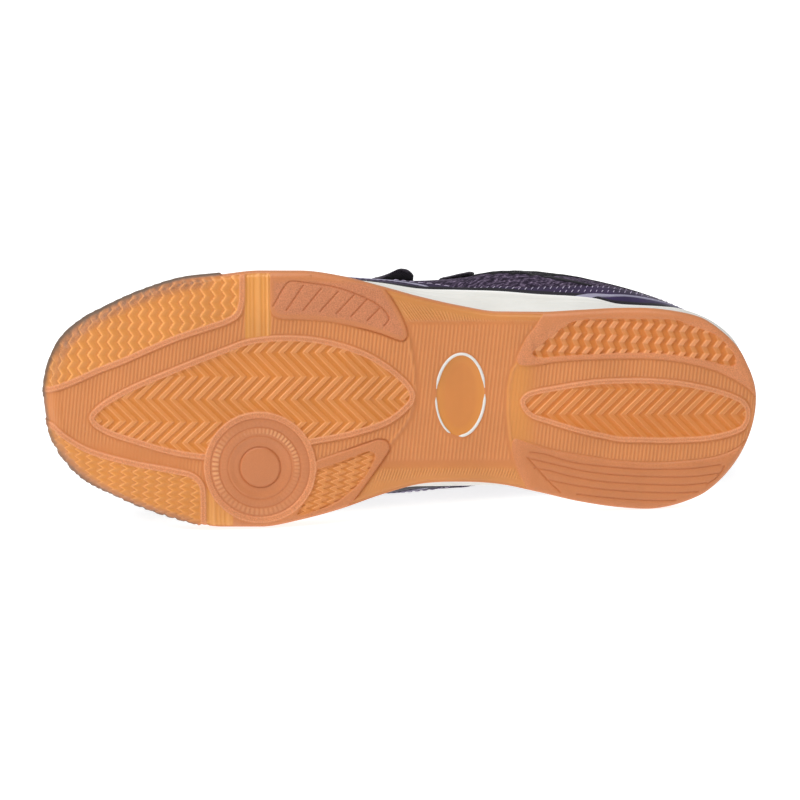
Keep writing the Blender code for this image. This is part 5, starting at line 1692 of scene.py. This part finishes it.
def build_strap(row):
    s = dict(zip(STRAPS[0], row))
    span = s["fixed"] - s["free"]
    mm = span * 0.95
    run = np.concatenate([5.0 * (1 - np.cos(np.linspace(0, math.pi / 2, 12)))[:-1], np.linspace(5.0, mm, 110)])
    t = run / mm
    across = 26
    w = np.linspace(-1, 1, across + 1)
    u = np.sin(w * math.pi / 2) * 0.35 + w * 0.65
    thick = STRAP_THICK
    d_side = (1 - np.abs(u)) * s["width"] / 2
    d = np.minimum(d_side[None], np.minimum(run, mm - run + 0.0)[:, None] + 0.0 * u[None])
    edge = np.where(u > 0, 0.8 + 1.8 * smooth(u / 0.5), 0.8)[None]
    shape = np.sqrt(np.clip(1 - (1 - np.clip(d / edge, 0, 1)) ** 2, 0, 1))
    slim = 1 - 0.72 * (np.clip(1 - run / 16.0, 0, 1) ** 0.7)[:, None] * ((1 - u[None]) / 2) ** 0.8
    pillow = 0.18 * (1 - u[None] ** 4)
    weave = 0.0
    top = strap_point(row, t[:, None], u[None], thick * slim * (0.5 + 0.5 * shape) + pillow + weave)
    under = strap_point(row, t[:, None], u[None], thick * slim * (0.5 - 0.5 * shape))
    n = len(t)
    grid = np.concatenate([top, under[:, ::-1]], 1)
    m = grid.shape[1]
    faces = [quads(n, m, 0, True)]
    for first in (0, (n - 1) * m):
        j = np.arange(across)
        faces.append(np.stack([first + j, first + j + 1, first + m - 2 - j, first + m - 1 - j], 1))
    obj = new_mesh(s["name"] + "_webbing", grid.reshape(-1, 3), faces)
    flat = np.zeros(grid.shape)
    flat[..., 0] = run[:, None]
    flat[:, :across + 1, 1] = (u * s["width"] / 2)[None]
    flat[:, across + 1:, 1] = (u * s["width"] / 2)[::-1][None]
    layer = obj.data.attributes.new("flat", "FLOAT_VECTOR", "POINT")
    layer.data.foreach_set("vector", flat.reshape(-1, 3).astype(np.float32).ravel())
    tidy(obj)
    # stitch lines along both edges, across the tab and in a box at the fixed end
    seams = []

    def seam(ts, us, pitch=2.3, length=1.7):
        fine_t, fine_u = np.asarray(ts, float), np.asarray(us, float)
        low = strap_point(row, fine_t, fine_u, thick + 0.16)
        far = np.concatenate([[0], np.cumsum(np.linalg.norm(np.diff(low, axis=0), axis=1))])
        at = np.linspace(0, far[-1], max(2, int(far[-1] / pitch) + 1))
        tt, uu = np.interp(at, far, fine_t), np.interp(at, far, fine_u)
        slim_now = 1 - 0.72 * np.clip(1 - tt * mm / 16.0, 0, 1) ** 0.7 * ((1 - uu) / 2) ** 0.8
        c = strap_point(row, tt, uu, thick * slim_now + 0.18 * (1 - uu ** 4) + 0.03)
        n_way = strap_point(row, tt, uu, thick * slim_now + 1.2) - strap_point(row, tt, uu, thick * slim_now + 0.2)
        n_way /= np.linalg.norm(n_way, axis=1, keepdims=True)
        way = np.gradient(c, axis=0)
        way /= np.linalg.norm(way, axis=1, keepdims=True)
        for a, b, e in zip(c, way, n_way):
            seams.append(stitch(a, b, e, length, 0.42))

    side = 1 - 1.9 / (s["width"] / 2)
    whole = np.linspace(0.045, 0.975, 200)
    seam(whole, np.full(200, side))
    seam(whole, np.full(200, -side))
    cross = np.linspace(-side, side, 30)
    for t_line in (16.0 / mm, 1 - 3.0 / mm, 1 - 14.0 / mm):
        seam(np.full(30, t_line), cross)
    seam(np.linspace(1 - 14.0 / mm, 1 - 3.0 / mm, 30), cross)
    seam(np.linspace(1 - 14.0 / mm, 1 - 3.0 / mm, 30), -cross)
    thread = joined(s["name"] + "_stitches", seams)
    return obj, thread


# ---------------------------------------------------------------- materials
def nodes_of(name):
    mat = bpy.data.materials.new(name)
    mat.use_nodes = True
    tree = mat.node_tree
    shader = tree.nodes["Principled BSDF"]
    return mat, tree, shader


def add(tree, kind, **values):
    node = tree.nodes.new(kind)
    for key, value in values.items():
        setattr(node, key, value)
    return node


def put(tree, value, socket):
    if isinstance(value, bpy.types.NodeSocket):
        tree.links.new(value, socket)
    elif isinstance(value, (int, float)):
        socket.default_value = value
    else:
        socket.default_value = tuple(value) if len(value) != 3 or socket.type == "VECTOR" else (*value, 1.0)


def maths(tree, operation, a, b=None, c=None):
    node = add(tree, "ShaderNodeMath", operation=operation)
    for i, value in enumerate((a, b, c)):
        if value is not None:
            put(tree, value, node.inputs[i])
    return node.outputs[0]


def spread(tree, value, low, high, to_low=0.0, to_high=1.0):
    node = add(tree, "ShaderNodeMapRange")
    for name, number in (("From Min", low), ("From Max", high), ("To Min", to_low), ("To Max", to_high)):
        node.inputs[name].default_value = number
    tree.links.new(value, node.inputs["Value"])
    return node.outputs["Result"]


def noise(tree, vector, scale, detail=2.0, rough=0.5):
    node = add(tree, "ShaderNodeTexNoise")
    node.inputs["Scale"].default_value = scale
    node.inputs["Detail"].default_value = detail
    node.inputs["Roughness"].default_value = rough
    tree.links.new(vector, node.inputs["Vector"])
    return node.outputs["Fac"]


def blend(tree, share, a, b, kind="MIX"):
    node = add(tree, "ShaderNodeMix", data_type="RGBA", blend_type=kind)
    put(tree, share, node.inputs["Factor"])
    put(tree, a, node.inputs["A"])
    put(tree, b, node.inputs["B"])
    return node.outputs["Result"]


def bump(tree, shader, height, distance, strength=1.0, under=None):
    node = add(tree, "ShaderNodeBump")
    node.inputs["Strength"].default_value = strength
    node.inputs["Distance"].default_value = distance
    tree.links.new(height, node.inputs["Height"])
    if under is not None:
        tree.links.new(under, node.inputs["Normal"])
    tree.links.new(node.outputs["Normal"], shader.inputs["Normal"])
    return node.outputs["Normal"]


def flat_of(tree):
    """Millimetres along and across the cloth."""
    node = add(tree, "ShaderNodeAttribute", attribute_name="flat")
    split = add(tree, "ShaderNodeSeparateXYZ")
    tree.links.new(node.outputs["Vector"], split.inputs["Vector"])
    return split.outputs["X"], split.outputs["Y"], node.outputs["Vector"]


def object_place(tree):
    return add(tree, "ShaderNodeTexCoord").outputs["Object"]


def cell(tree, along, across, wide, tall):
    """Place inside a brick-laid cell, in mm from its middle."""
    row = maths(tree, "FLOOR", maths(tree, "DIVIDE", across, tall))
    half = maths(tree, "MULTIPLY", maths(tree, "FLOORED_MODULO", row, 2.0), 0.5)
    a = maths(tree, "FRACT", maths(tree, "ADD", maths(tree, "DIVIDE", along, wide), half))
    b = maths(tree, "FRACT", maths(tree, "DIVIDE", across, tall))
    return (maths(tree, "MULTIPLY", maths(tree, "SUBTRACT", a, 0.5), wide),
            maths(tree, "MULTIPLY", maths(tree, "SUBTRACT", b, 0.5), tall))


def mesh_material():
    """Purple knitted mesh: small cells, and slanting threads drawn long up the side."""
    mat, tree, shader = nodes_of("purple_mesh")
    s, t, flat = flat_of(tree)
    place_at = object_place(tree)
    a, b = cell(tree, s, t, 1.35, 1.9)
    lean = maths(tree, "MULTIPLY_ADD", b, 0.35, a)
    d = maths(tree, "SQRT", maths(tree, "ADD", maths(tree, "POWER", maths(tree, "DIVIDE", lean, 0.42), 2.0),
                                  maths(tree, "POWER", maths(tree, "DIVIDE", b, 0.70), 2.0)))
    thread = spread(tree, d, 1.15, 0.45)
    # irregular threads: a noise drawn out along the slant
    drawn = add(tree, "ShaderNodeCombineXYZ")
    tree.links.new(maths(tree, "MULTIPLY", maths(tree, "MULTIPLY_ADD", t, 0.75, s), 1.0), drawn.inputs["X"])
    tree.links.new(maths(tree, "MULTIPLY", t, 0.30), drawn.inputs["Y"])
    streak = noise(tree, drawn.outputs["Vector"], 1.0, 3.0, 0.6)
    lit = maths(tree, "MULTIPLY", spread(tree, streak, 0.47, 0.68), maths(tree, "MULTIPLY_ADD", thread, 0.55, 0.45))
    cloud = noise(tree, place_at, 60.0, 3.0)
    base = blend(tree, spread(tree, cloud, 0.3, 0.7), linear((40, 32, 48)), linear((56, 45, 66)))
    base = blend(tree, spread(tree, streak, 0.46, 0.30, 0.0, 0.8), base, linear((20, 15, 25)))
    colour = blend(tree, lit, base, linear((150, 132, 160)))
    tree.links.new(colour, shader.inputs["Base Color"])
    fine = noise(tree, flat, 9.0, 2.0)
    height = maths(tree, "ADD", maths(tree, "MULTIPLY_ADD", fine, 0.35, thread), maths(tree, "MULTIPLY", streak, 2.0))
    bump(tree, shader, height, 0.00016, 0.8)
    tree.links.new(spread(tree, fine, 0.3, 0.7, 0.62, 0.82), shader.inputs["Roughness"])
    shader.inputs["Specular IOR Level"].default_value = 0.10
    return mat


def lining_material(name="black_lining", dark=(15, 14, 18), light=(44, 41, 50), pitch=0.8, sheen=0.04):
    """Soft dark knit."""
    mat, tree, shader = nodes_of(name)
    s, t, flat = flat_of(tree)
    place_at = object_place(tree)
    a, b = cell(tree, s, t, pitch, pitch * 0.8)
    d = maths(tree, "SQRT", maths(tree, "ADD", maths(tree, "POWER", a, 2.0), maths(tree, "POWER", b, 2.0)))
    knot = spread(tree, d, 0.42 * pitch, 0.12 * pitch)
    cloud = noise(tree, place_at, 45.0, 3.0)
    share = maths(tree, "MULTIPLY", knot, spread(tree, cloud, 0.3, 0.7, 0.25, 0.8))
    tree.links.new(blend(tree, share, linear(dark), linear(light)), shader.inputs["Base Color"])
    fine = noise(tree, flat, 7.0, 2.0)
    bump(tree, shader, maths(tree, "MULTIPLY_ADD", fine, 0.4, knot), 0.00015, 0.7)
    tree.links.new(spread(tree, fine, 0.3, 0.7, 0.7, 0.92), shader.inputs["Roughness"])
    shader.inputs["Sheen Weight"].default_value = sheen
    shader.inputs["Sheen Roughness"].default_value = 0.5
    shader.inputs["Specular IOR Level"].default_value = 0.12
    return mat


def skin_material(name, dark, light, rough=(0.38, 0.55), grain=1900.0, depth=0.00005, coat=0.0, scuff=(190, 182, 200)):
    """Smooth man-made leather with fine grain and light scuffs."""
    mat, tree, shader = nodes_of(name)
    place_at = object_place(tree)
    cloud = noise(tree, place_at, 70.0, 3.0)
    base = blend(tree, spread(tree, cloud, 0.3, 0.7), linear(dark), linear(light))
    fine = noise(tree, place_at, grain, 3.0)
    base = blend(tree, spread(tree, fine, 0.35, 0.7, 0.0, 0.22), base, linear(dark))
    marks = noise(tree, place_at, 320.0, 4.0, 0.7)
    base = blend(tree, spread(tree, marks, 0.70, 0.80, 0.0, 0.16), base, linear(scuff))
    tree.links.new(base, shader.inputs["Base Color"])
    tree.links.new(spread(tree, marks, 0.3, 0.75, rough[0], rough[1]), shader.inputs["Roughness"])
    bump(tree, shader, fine, depth, 0.7)
    shader.inputs["Specular IOR Level"].default_value = 0.28
    shader.inputs["Coat Weight"].default_value = coat
    shader.inputs["Coat Roughness"].default_value = 0.3
    return mat


def foam_material():
    mat, tree, shader = nodes_of("white_foam")
    place_at = object_place(tree)
    finish = add(tree, "ShaderNodeAttribute", attribute_name="finish")
    split = add(tree, "ShaderNodeSeparateColor")
    tree.links.new(finish.outputs["Color"], split.inputs["Color"])
    cloud = noise(tree, place_at, 40.0, 4.0, 0.6)
    base = blend(tree, spread(tree, cloud, 0.3, 0.7), linear((216, 215, 209)), linear((226, 225, 220)))
    spots = noise(tree, place_at, 260.0, 4.0, 0.65)
    dirt = maths(tree, "MULTIPLY", split.outputs["Red"], spread(tree, spots, 0.35, 0.7, 0.15, 0.6))
    base = blend(tree, dirt, base, linear((178, 171, 157)))
    # green channel of finish: painted highlight, blended toward near white
    base = blend(tree, maths(tree, "MULTIPLY", split.outputs["Green"], 0.85), base, linear((247, 246, 244)))
    tree.links.new(base, shader.inputs["Base Color"])
    tree.links.new(spread(tree, spots, 0.3, 0.7, 0.48, 0.62), shader.inputs["Roughness"])
    fine = noise(tree, place_at, 1500.0, 2.0)
    bump(tree, shader, maths(tree, "MULTIPLY_ADD", spots, 1.5, fine), 0.00004, 0.6)
    shader.inputs["Subsurface Weight"].default_value = 0.15
    shader.inputs["Subsurface Radius"].default_value = (1.0, 0.9, 0.8)
    shader.inputs["Subsurface Scale"].default_value = 0.0012
    return mat


def webbing_material():
    """Napped strap with a fine slanting weave."""
    mat, tree, shader = nodes_of("strap_webbing")
    s, t, flat = flat_of(tree)
    place_at = object_place(tree)
    wave_at = maths(tree, "ADD", maths(tree, "MULTIPLY", s, 5.2), maths(tree, "MULTIPLY", t, 4.4))
    ridge = spread(tree, maths(tree, "SINE", wave_at), -1.0, 1.0)
    cross = spread(tree, maths(tree, "SINE", maths(tree, "SUBTRACT", maths(tree, "MULTIPLY", s, 7.5),
                                                     maths(tree, "MULTIPLY", t, 6.0))), -1.0, 1.0)
    weave = maths(tree, "MULTIPLY", ridge, maths(tree, "MULTIPLY_ADD", cross, 0.5, 0.5))
    cloud = noise(tree, place_at, 90.0, 3.0)
    base = blend(tree, weave, linear((46, 41, 50)), linear((80, 74, 86)))
    base = blend(tree, spread(tree, cloud, 0.35, 0.75, 0.0, 0.45), base, linear((64, 54, 66)))
    tree.links.new(base, shader.inputs["Base Color"])
    shader.inputs["Sheen Weight"].default_value = 0.40
    fine = noise(tree, flat, 8.0, 3.0)
    bump(tree, shader, maths(tree, "MULTIPLY_ADD", fine, 0.5, weave), 0.00014, 0.8)
    tree.links.new(spread(tree, fine, 0.3, 0.7, 0.68, 0.9), shader.inputs["Roughness"])
    shader.inputs["Specular IOR Level"].default_value = 0.15
    return mat


def thread_material(name, dark, light):
    mat, tree, shader = nodes_of(name)
    place_at = object_place(tree)
    cloud = noise(tree, place_at, 700.0, 2.0)
    tree.links.new(blend(tree, spread(tree, cloud, 0.3, 0.7), linear(dark), linear(light)), shader.inputs["Base Color"])
    fine = noise(tree, place_at, 5200.0, 1.0)
    bump(tree, shader, fine, 0.00005, 0.7)
    tree.links.new(spread(tree, fine, 0.3, 0.7, 0.5, 0.7), shader.inputs["Roughness"])
    return mat


def gum_material():
    mat, tree, shader = nodes_of("gum_rubber_sole")
    link = tree.links.new
    tint = add(tree, "ShaderNodeAttribute", attribute_name="tint")
    finish = add(tree, "ShaderNodeAttribute", attribute_name="finish")
    split = add(tree, "ShaderNodeSeparateColor")
    link(finish.outputs["Color"], split.inputs["Color"])
    place_at = object_place(tree)
    cloud = noise(tree, place_at, 55.0, 3.0)
    tone = spread(tree, cloud, 0.3, 0.7, 0.95, 1.05)
    # fine sand on the textured zones
    sand = noise(tree, place_at, 2100.0, 2.0)
    speck = spread(tree, sand, 0.32, 0.68, -0.16, 0.16)
    much = maths(tree, "MULTIPLY_ADD", speck, split.outputs["Red"], tone)
    shade = add(tree, "ShaderNodeMix", data_type="RGBA", blend_type="MULTIPLY")
    shade.inputs["Factor"].default_value = 1.0
    link(tint.outputs["Color"], shade.inputs["A"])
    link(much, shade.inputs["B"])
    # dust and light rubbing marks
    marks = noise(tree, place_at, 420.0, 4.0, 0.7)
    worn = blend(tree, spread(tree, marks, 0.64, 0.80, 0.0, 0.10), shade.outputs["Result"], linear((238, 206, 176)))
    link(worn, shader.inputs["Base Color"])
    gloss = add(tree, "ShaderNodeMath", operation="MULTIPLY_ADD")
    link(split.outputs["Red"], gloss.inputs[0])
    gloss.inputs[1].default_value = 0.26
    link(spread(tree, marks, 0.3, 0.7, 0.34, 0.44), gloss.inputs[2])
    link(gloss.outputs["Value"], shader.inputs["Roughness"])
    soft = noise(tree, place_at, 900.0, 1.0)
    height = maths(tree, "MULTIPLY_ADD", soft, 0.25, maths(tree, "MULTIPLY", sand, split.outputs["Red"]))
    bump(tree, shader, height, 0.00012, 0.45)
    shader.inputs["Subsurface Weight"].default_value = 0.10
    shader.inputs["Subsurface Radius"].default_value = (1.0, 0.45, 0.18)
    shader.inputs["Subsurface Scale"].default_value = 0.0007
    shader.inputs["IOR"].default_value = 1.48
    shader.inputs["Specular IOR Level"].default_value = 0.42
    return mat


# ---------------------------------------------------------------- stage, light, camera
def build_stage():
    work = bmesh.new()
    bmesh.ops.create_circle(work, cap_ends=True, cap_tris=False, segments=96, radius=6.0)
    mesh = bpy.data.meshes.new("floor")
    work.to_mesh(mesh)
    work.free()
    floor = bpy.data.objects.new("floor", mesh)
    bpy.context.scene.collection.objects.link(floor)
    mat, tree, shader = nodes_of("pale_floor")
    cloud = add(tree, "ShaderNodeTexNoise")
    cloud.inputs["Scale"].default_value = 3.0
    tone = add(tree, "ShaderNodeMapRange")
    tone.inputs["To Min"].default_value, tone.inputs["To Max"].default_value = 0.48, 0.52
    tree.links.new(cloud.outputs["Fac"], tone.inputs["Value"])
    tree.links.new(tone.outputs["Result"], shader.inputs["Base Color"])
    shader.inputs["Roughness"].default_value = 0.9
    shader.inputs["Emission Color"].default_value = (1.0, 1.0, 1.0, 1.0)
    shader.inputs["Emission Strength"].default_value = 0.82
    floor.data.materials.append(mat)


def turned(direction):
    """A direction in shoe axes (x, v, h) as a direction in the frame."""
    d = np.asarray(direction, float)
    return Vector(LYING[:3, :3] @ np.array([d[0], d[2], d[1]]))


def area(name, at, to, size, power, colour=(1, 1, 1)):
    data = bpy.data.lights.new(name, "AREA")
    data.shape, data.size, data.energy, data.color = "SQUARE", size, power, colour
    obj = bpy.data.objects.new(name, data)
    obj.location = at
    obj.rotation_euler = (Vector(to) - Vector(at)).to_track_quat("-Z", "Y").to_euler()
    bpy.context.scene.collection.objects.link(obj)
    return obj


def build_light():
    world = bpy.data.worlds.new("studio")
    bpy.context.scene.world = world
    world.use_nodes = True
    back = world.node_tree.nodes["Background"]
    back.inputs["Color"].default_value = (1.0, 1.0, 1.0, 1.0)
    back.inputs["Strength"].default_value = 0.36
    # a wide soft source overhead, and a smaller one that grazes the tread from the toe's upper side
    data = bpy.data.lights.new("top", "SUN")
    data.energy, data.angle = 1.9, math.radians(50.0)
    high = bpy.data.objects.new("top", data)
    high.rotation_euler = Vector((0.25, 0.25, -1.5)).to_track_quat("-Z", "Y").to_euler()
    bpy.context.scene.collection.objects.link(high)
    area("key", (-0.95, -0.40, 0.95), (0, 0, 0.04), 0.35, 5.6)


def build_camera():
    tilt = math.radians(8.0)
    toward = turned((0.0, math.sin(tilt), -math.cos(tilt)))
    up = turned((0.0, math.cos(tilt), math.sin(tilt)))
    right = up.cross(toward)
    middle = Vector(place([[137.5, 0.0, 2.0]])[0])
    distance = 1.25
    data = bpy.data.cameras.new("camera")
    cam = bpy.data.objects.new("camera", data)
    bpy.context.scene.collection.objects.link(cam)
    cam.rotation_mode = "QUATERNION"
    cam.rotation_quaternion = Matrix((right, up, toward)).transposed().to_quaternion()
    cam.location = middle + toward * distance
    data.sensor_width = 36.0
    # the sole's length spans 713.5 of the picture's 800 points
    wide = 0.275 * 800 / 713.6
    data.lens = 36.0 * distance / wide
    data.clip_start, data.clip_end = 0.05, 40.0
    bpy.context.scene.camera = cam
    cam.data.dof.use_dof = False


# ---------------------------------------------------------------- putting the pieces together
def settle(obj):
    """Soft parts press flat on the floor instead of passing through it."""
    co = np.empty(len(obj.data.vertices) * 3, np.float32)
    obj.data.vertices.foreach_get("co", co)
    co = co.reshape(-1, 3)
    low = co[:, 2] < 0.00003
    if low.any():
        co[low, 2] = 0.00003
        obj.data.vertices.foreach_set("co", co.ravel())
        obj.data.update()


def finish(obj, material, node, slot, more=()):
    for mat in (material, *more):
        obj.data.materials.append(mat)
    settle(obj)
    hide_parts(node)
    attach(obj, "root")
    return obj


def rises(rows, turns):
    """A border's height at each turn, the same on both sides of the shoe."""
    key = np.where(turns <= math.pi, turns, 2 * math.pi - turns)
    table = Table(rows, 6.0, 270.5)
    return table.read("rise", key)


def around_heel(x, count):
    return np.linspace(turn_at(x), 2 * math.pi - turn_at(x), count)


def side_turns(x1, x2, outer, count):
    a, b = turn_at(x1), turn_at(x2)
    turns = np.linspace(a, b, count)
    return turns if outer else (2 * math.pi - turns)[::-1]


def edge_line(rows, turns, off=0.0):
    return turns, rises(rows, turns) + off


def cord_along(turns, rise, wide, high, off, sides=10, taper=6):
    turns, rise = spaced(turns, rise, 0.0, 0.8)
    centre = skin(turns, rise, off)
    n = skin(turns, rise, off + 1.0) - centre
    size = np.ones(len(turns))
    if taper:
        t = np.minimum(np.arange(len(turns)), np.arange(len(turns))[::-1]) / taper
        size = 0.25 + 0.75 * smooth(t)
    return cord_on("", centre, n, wide * size, high * size, sides)


def build_layers():
    """Layers sewn on the mesh, their piping and their stitches."""
    made = {}
    # toe and forefoot
    k = turn_at(152.6)
    turns = np.linspace(k, -k, 300)
    wrapped = np.where(turns < 0, turns + 2 * math.pi, turns)
    high = rises(TOE_EDGE, wrapped)
    made["toe_guard"] = panel("toe_guard", turns, np.full(300, -LOWER - 1.5), high, 0.38, 18, 0.8)
    piping = cord_along(turns, high - 0.6, 1.15, 0.8, 0.32, 12)
    # vamp's sides
    vamp, dashes = [], []
    for outer in (True, False):
        t = side_turns(118.5, 161.0, outer, 90)
        vamp.append(panel("vamp_side_" + ("outer" if outer else "inner"), t, np.full(90, -LOWER - 1.5), rises(VAMP_EDGE, t), 0.42, 16, 0.9))
        rows = np.array(VAMP_DASHES)
        line = on_line(rows, outer, 0.5)
        dashes += stitches_on(line[0], line[1], 0.50, 3.3, 2.1, 0.40, -6.0 if outer else 6.0)
    made["vamp_outer"], made["vamp_inner"] = vamp
    # quarters and the heel
    t = around_heel(151.5, 420)
    made["quarter_layer"] = panel("quarter_layer", t, np.full(420, -LOWER - 1.5), rises(QUARTER_EDGE, t), 0.42, 20, 0.9)
    t = around_heel(207.5, 260)
    made["heel_counter"] = panel("heel_counter", t, np.full(260, -LOWER - 1.5), rises(BAND_LOW, t) + 1.2, 0.60, 18, 0.9)
    t = around_heel(203.0, 300)
    made["heel_band"] = panel("heel_band", t, rises(BAND_LOW, t), rises(BAND_HIGH, t), 0.85, 10, 0.8)
    # black strip along the lip, standing for the shadow where the upper meets the midsole
    t = around_heel(101.0, 520)
    made["lip_shadow_strip"] = panel("lip_shadow_strip", t, np.full(520, -LOWER - 1.5), rises(LIP_SHADE_EDGE, t) + 2.0, 0.80, 10, 0.4)
    # dashes: slanting stitches on both sides, in one run round the heel
    for rows, off in ((QUARTER_DASHES, 0.50), (LOWER_DASHES, 0.50)):
        for outer in (True, False):
            line = on_line(np.array(rows), outer, 0.5)
            dashes += stitches_on(line[0], line[1], off, 2.54, 1.75, 0.36, -50.0 if outer else 50.0)
    # toe guard's own row of stitches
    t = np.linspace(k, -k, 500)
    wrapped = np.where(t < 0, t + 2 * math.pi, t)
    toe_row = stitches_on(t, rises(TOE_EDGE, wrapped) - 3.6, 0.42, 2.4, 1.6, 0.42)
    # collar and trim
    t = around_heel(166.0, 360)
    key = np.where(t <= math.pi, t, 2 * math.pi - t)
    made["collar_layer"] = panel("collar_layer", t, rises(COLLAR_EDGE, t), cut_at(key) - 0.6, 0.34, 22, 0.7)
    trims = []
    for outer in (True, False):
        t = side_turns(184.6, 213.0, outer, 70)
        mid = rises(TRIM_LINE, t)
        ends = np.clip(np.minimum(np.linspace(0, 4, 70), np.linspace(4, 0, 70)), 0, 1)
        width = 0.15 + 1.55 * np.sqrt(1 - (1 - ends) ** 2)
        trims.append(panel("side_trim_" + ("outer" if outer else "inner"), t, mid - width, mid + width, 0.62, 8, 0.6))
    made["trim_outer"], made["trim_inner"] = trims
    # binding along the throat and the strap area, on the opening's edge
    t = np.concatenate([np.linspace(turn_at(168.0), THROAT + 0.004, 160), 2 * math.pi - np.linspace(THROAT + 0.004, turn_at(168.0), 160)])
    key = np.where(t <= math.pi, t, 2 * math.pi - t)
    edge_out = skin(t, cut_at(key), 0.0, False)
    edge_in = skin(t, cut_at(key), -WALL, False)
    middle = (edge_out + edge_in) / 2
    fine = curve(middle[::4], False, 0.9)
    up = curve((edge_out - edge_in)[::4], False, 10.0)
    up = np.stack([np.interp(np.linspace(0, 1, len(fine)), np.linspace(0, 1, len(middle)), (edge_out - edge_in)[:, i]) for i in range(3)], 1)
    binding = cord_on("", fine, up, 2.4, WALL + 0.9, 14)
    # seam up the back of the heel
    rise = np.linspace(14.0, 41.0, 60)
    centre = skin(np.full(60, math.pi - 0.0005), rise, 0.38)
    n = skin(np.full(60, math.pi - 0.0005), rise, 1.38) - centre
    tab = cord_on("", centre, n, 5.0 - 1.6 * np.linspace(0, 1, 60), 0.9, 16)
    return made, piping, dashes, toe_row, binding, tab


def build_window():
    """White rim of the sole's window, in three arcs."""
    turn = math.radians(WINDOW["turn"])
    pieces = []
    level = ground(np.array([WINDOW["x"]]))[0]
    for first, last, full in ((11.5, 172.0, 1.0), (184.0, 250.0, 0.72), (270.0, 362.5, 1.0)):
        t = np.radians(np.linspace(first, last, 90))
        a, b = WINDOW["along"] * np.cos(t), WINDOW["across"] * np.sin(t)
        x = WINDOW["x"] + a * math.cos(turn) - b * math.sin(turn)
        v = WINDOW["v"] + a * math.sin(turn) + b * math.cos(turn)
        h = ground(x) + 0.78
        size = full * (0.35 + 0.65 * smooth(np.minimum(np.arange(90), np.arange(90)[::-1]) / 9.0))
        centre = np.column_stack([x, v, h])
        pieces.append(cord_on("", centre, np.repeat([[0.0, 0.0, -1.0]], 90, 0), 1.15 * size, 1.0 * size, 12))
    return joined("window_rim", pieces)


bpy.context.scene.view_settings.view_transform = "Standard"
build_stage()
build_light()
build_camera()

gum = gum_material()
outsole = finish(build_outsole(), gum, "outsole", "outsole")
foam = foam_material()
midsole = finish(build_midsole(), foam, "midsole", "midsole")
window = finish(build_window(), foam, "outsole", "midsole")

purple = mesh_material()
black = lining_material()
shell = finish(build_upper(), purple, "upper", "upper", (black,))
layers, piping, dashes, toe_row, binding, tab = build_layers()
deep = skin_material("deep_purple_skin", (25, 19, 34), (42, 33, 56))
plum = skin_material("plum_skin", (40, 30, 53), (58, 44, 78))
violet = skin_material("violet_skin", (37, 24, 62), (54, 37, 82), (0.3, 0.5))
silver = skin_material("silver_band", (138, 134, 156), (166, 162, 184), (0.28, 0.45), coat=0.15, scuff=(225, 222, 235))
dark = skin_material("black_trim", (20, 18, 24), (36, 32, 42))
looks = {"toe_guard": deep, "vamp_outer": plum, "vamp_inner": plum, "quarter_layer": plum, "heel_counter": violet,
         "heel_band": silver, "lip_shadow_strip": dark, "trim_outer": dark, "trim_inner": dark, "collar_layer": black}
for name, obj in layers.items():
    finish(obj, looks[name], "upper", "upper")
finish(joined("front_piping", [piping]), silver, "upper", "upper")
pale_thread = thread_material("pale_thread", (160, 146, 178), (208, 198, 220))
dark_thread = thread_material("dark_thread", (70, 60, 82), (104, 92, 120))
finish(joined("side_stitches", dashes), pale_thread, "upper", "upper")
finish(joined("toe_stitches", toe_row), dark_thread, "upper", "upper")
finish(joined("throat_binding", [binding]), dark, "upper", "upper")
finish(joined("heel_tab", [tab]), dark, "upper", "upper")
collar = finish(build_collar(), lining_material("collar_knit", (14, 13, 17), (40, 37, 46), 0.9, 0.05), "upper", "upper")

tongue, tongue_edge = build_tongue()
finish(tongue, lining_material("tongue_knit", (26, 21, 34), (74, 62, 92), 1.1, 0.05), "tongue", "tongue")
finish(tongue_edge, dark, "tongue", "tongue")
webbing = webbing_material()
for row in STRAPS[1:]:
    strap, seam = build_strap(row)
    finish(strap, webbing, row[0], "straps")
    finish(seam, dark_thread, row[0], "straps")
finish(build_insole(), lining_material("insole_cloth", (46, 40, 58), (96, 88, 112), 1.0, 0.05), "insole", "insole")
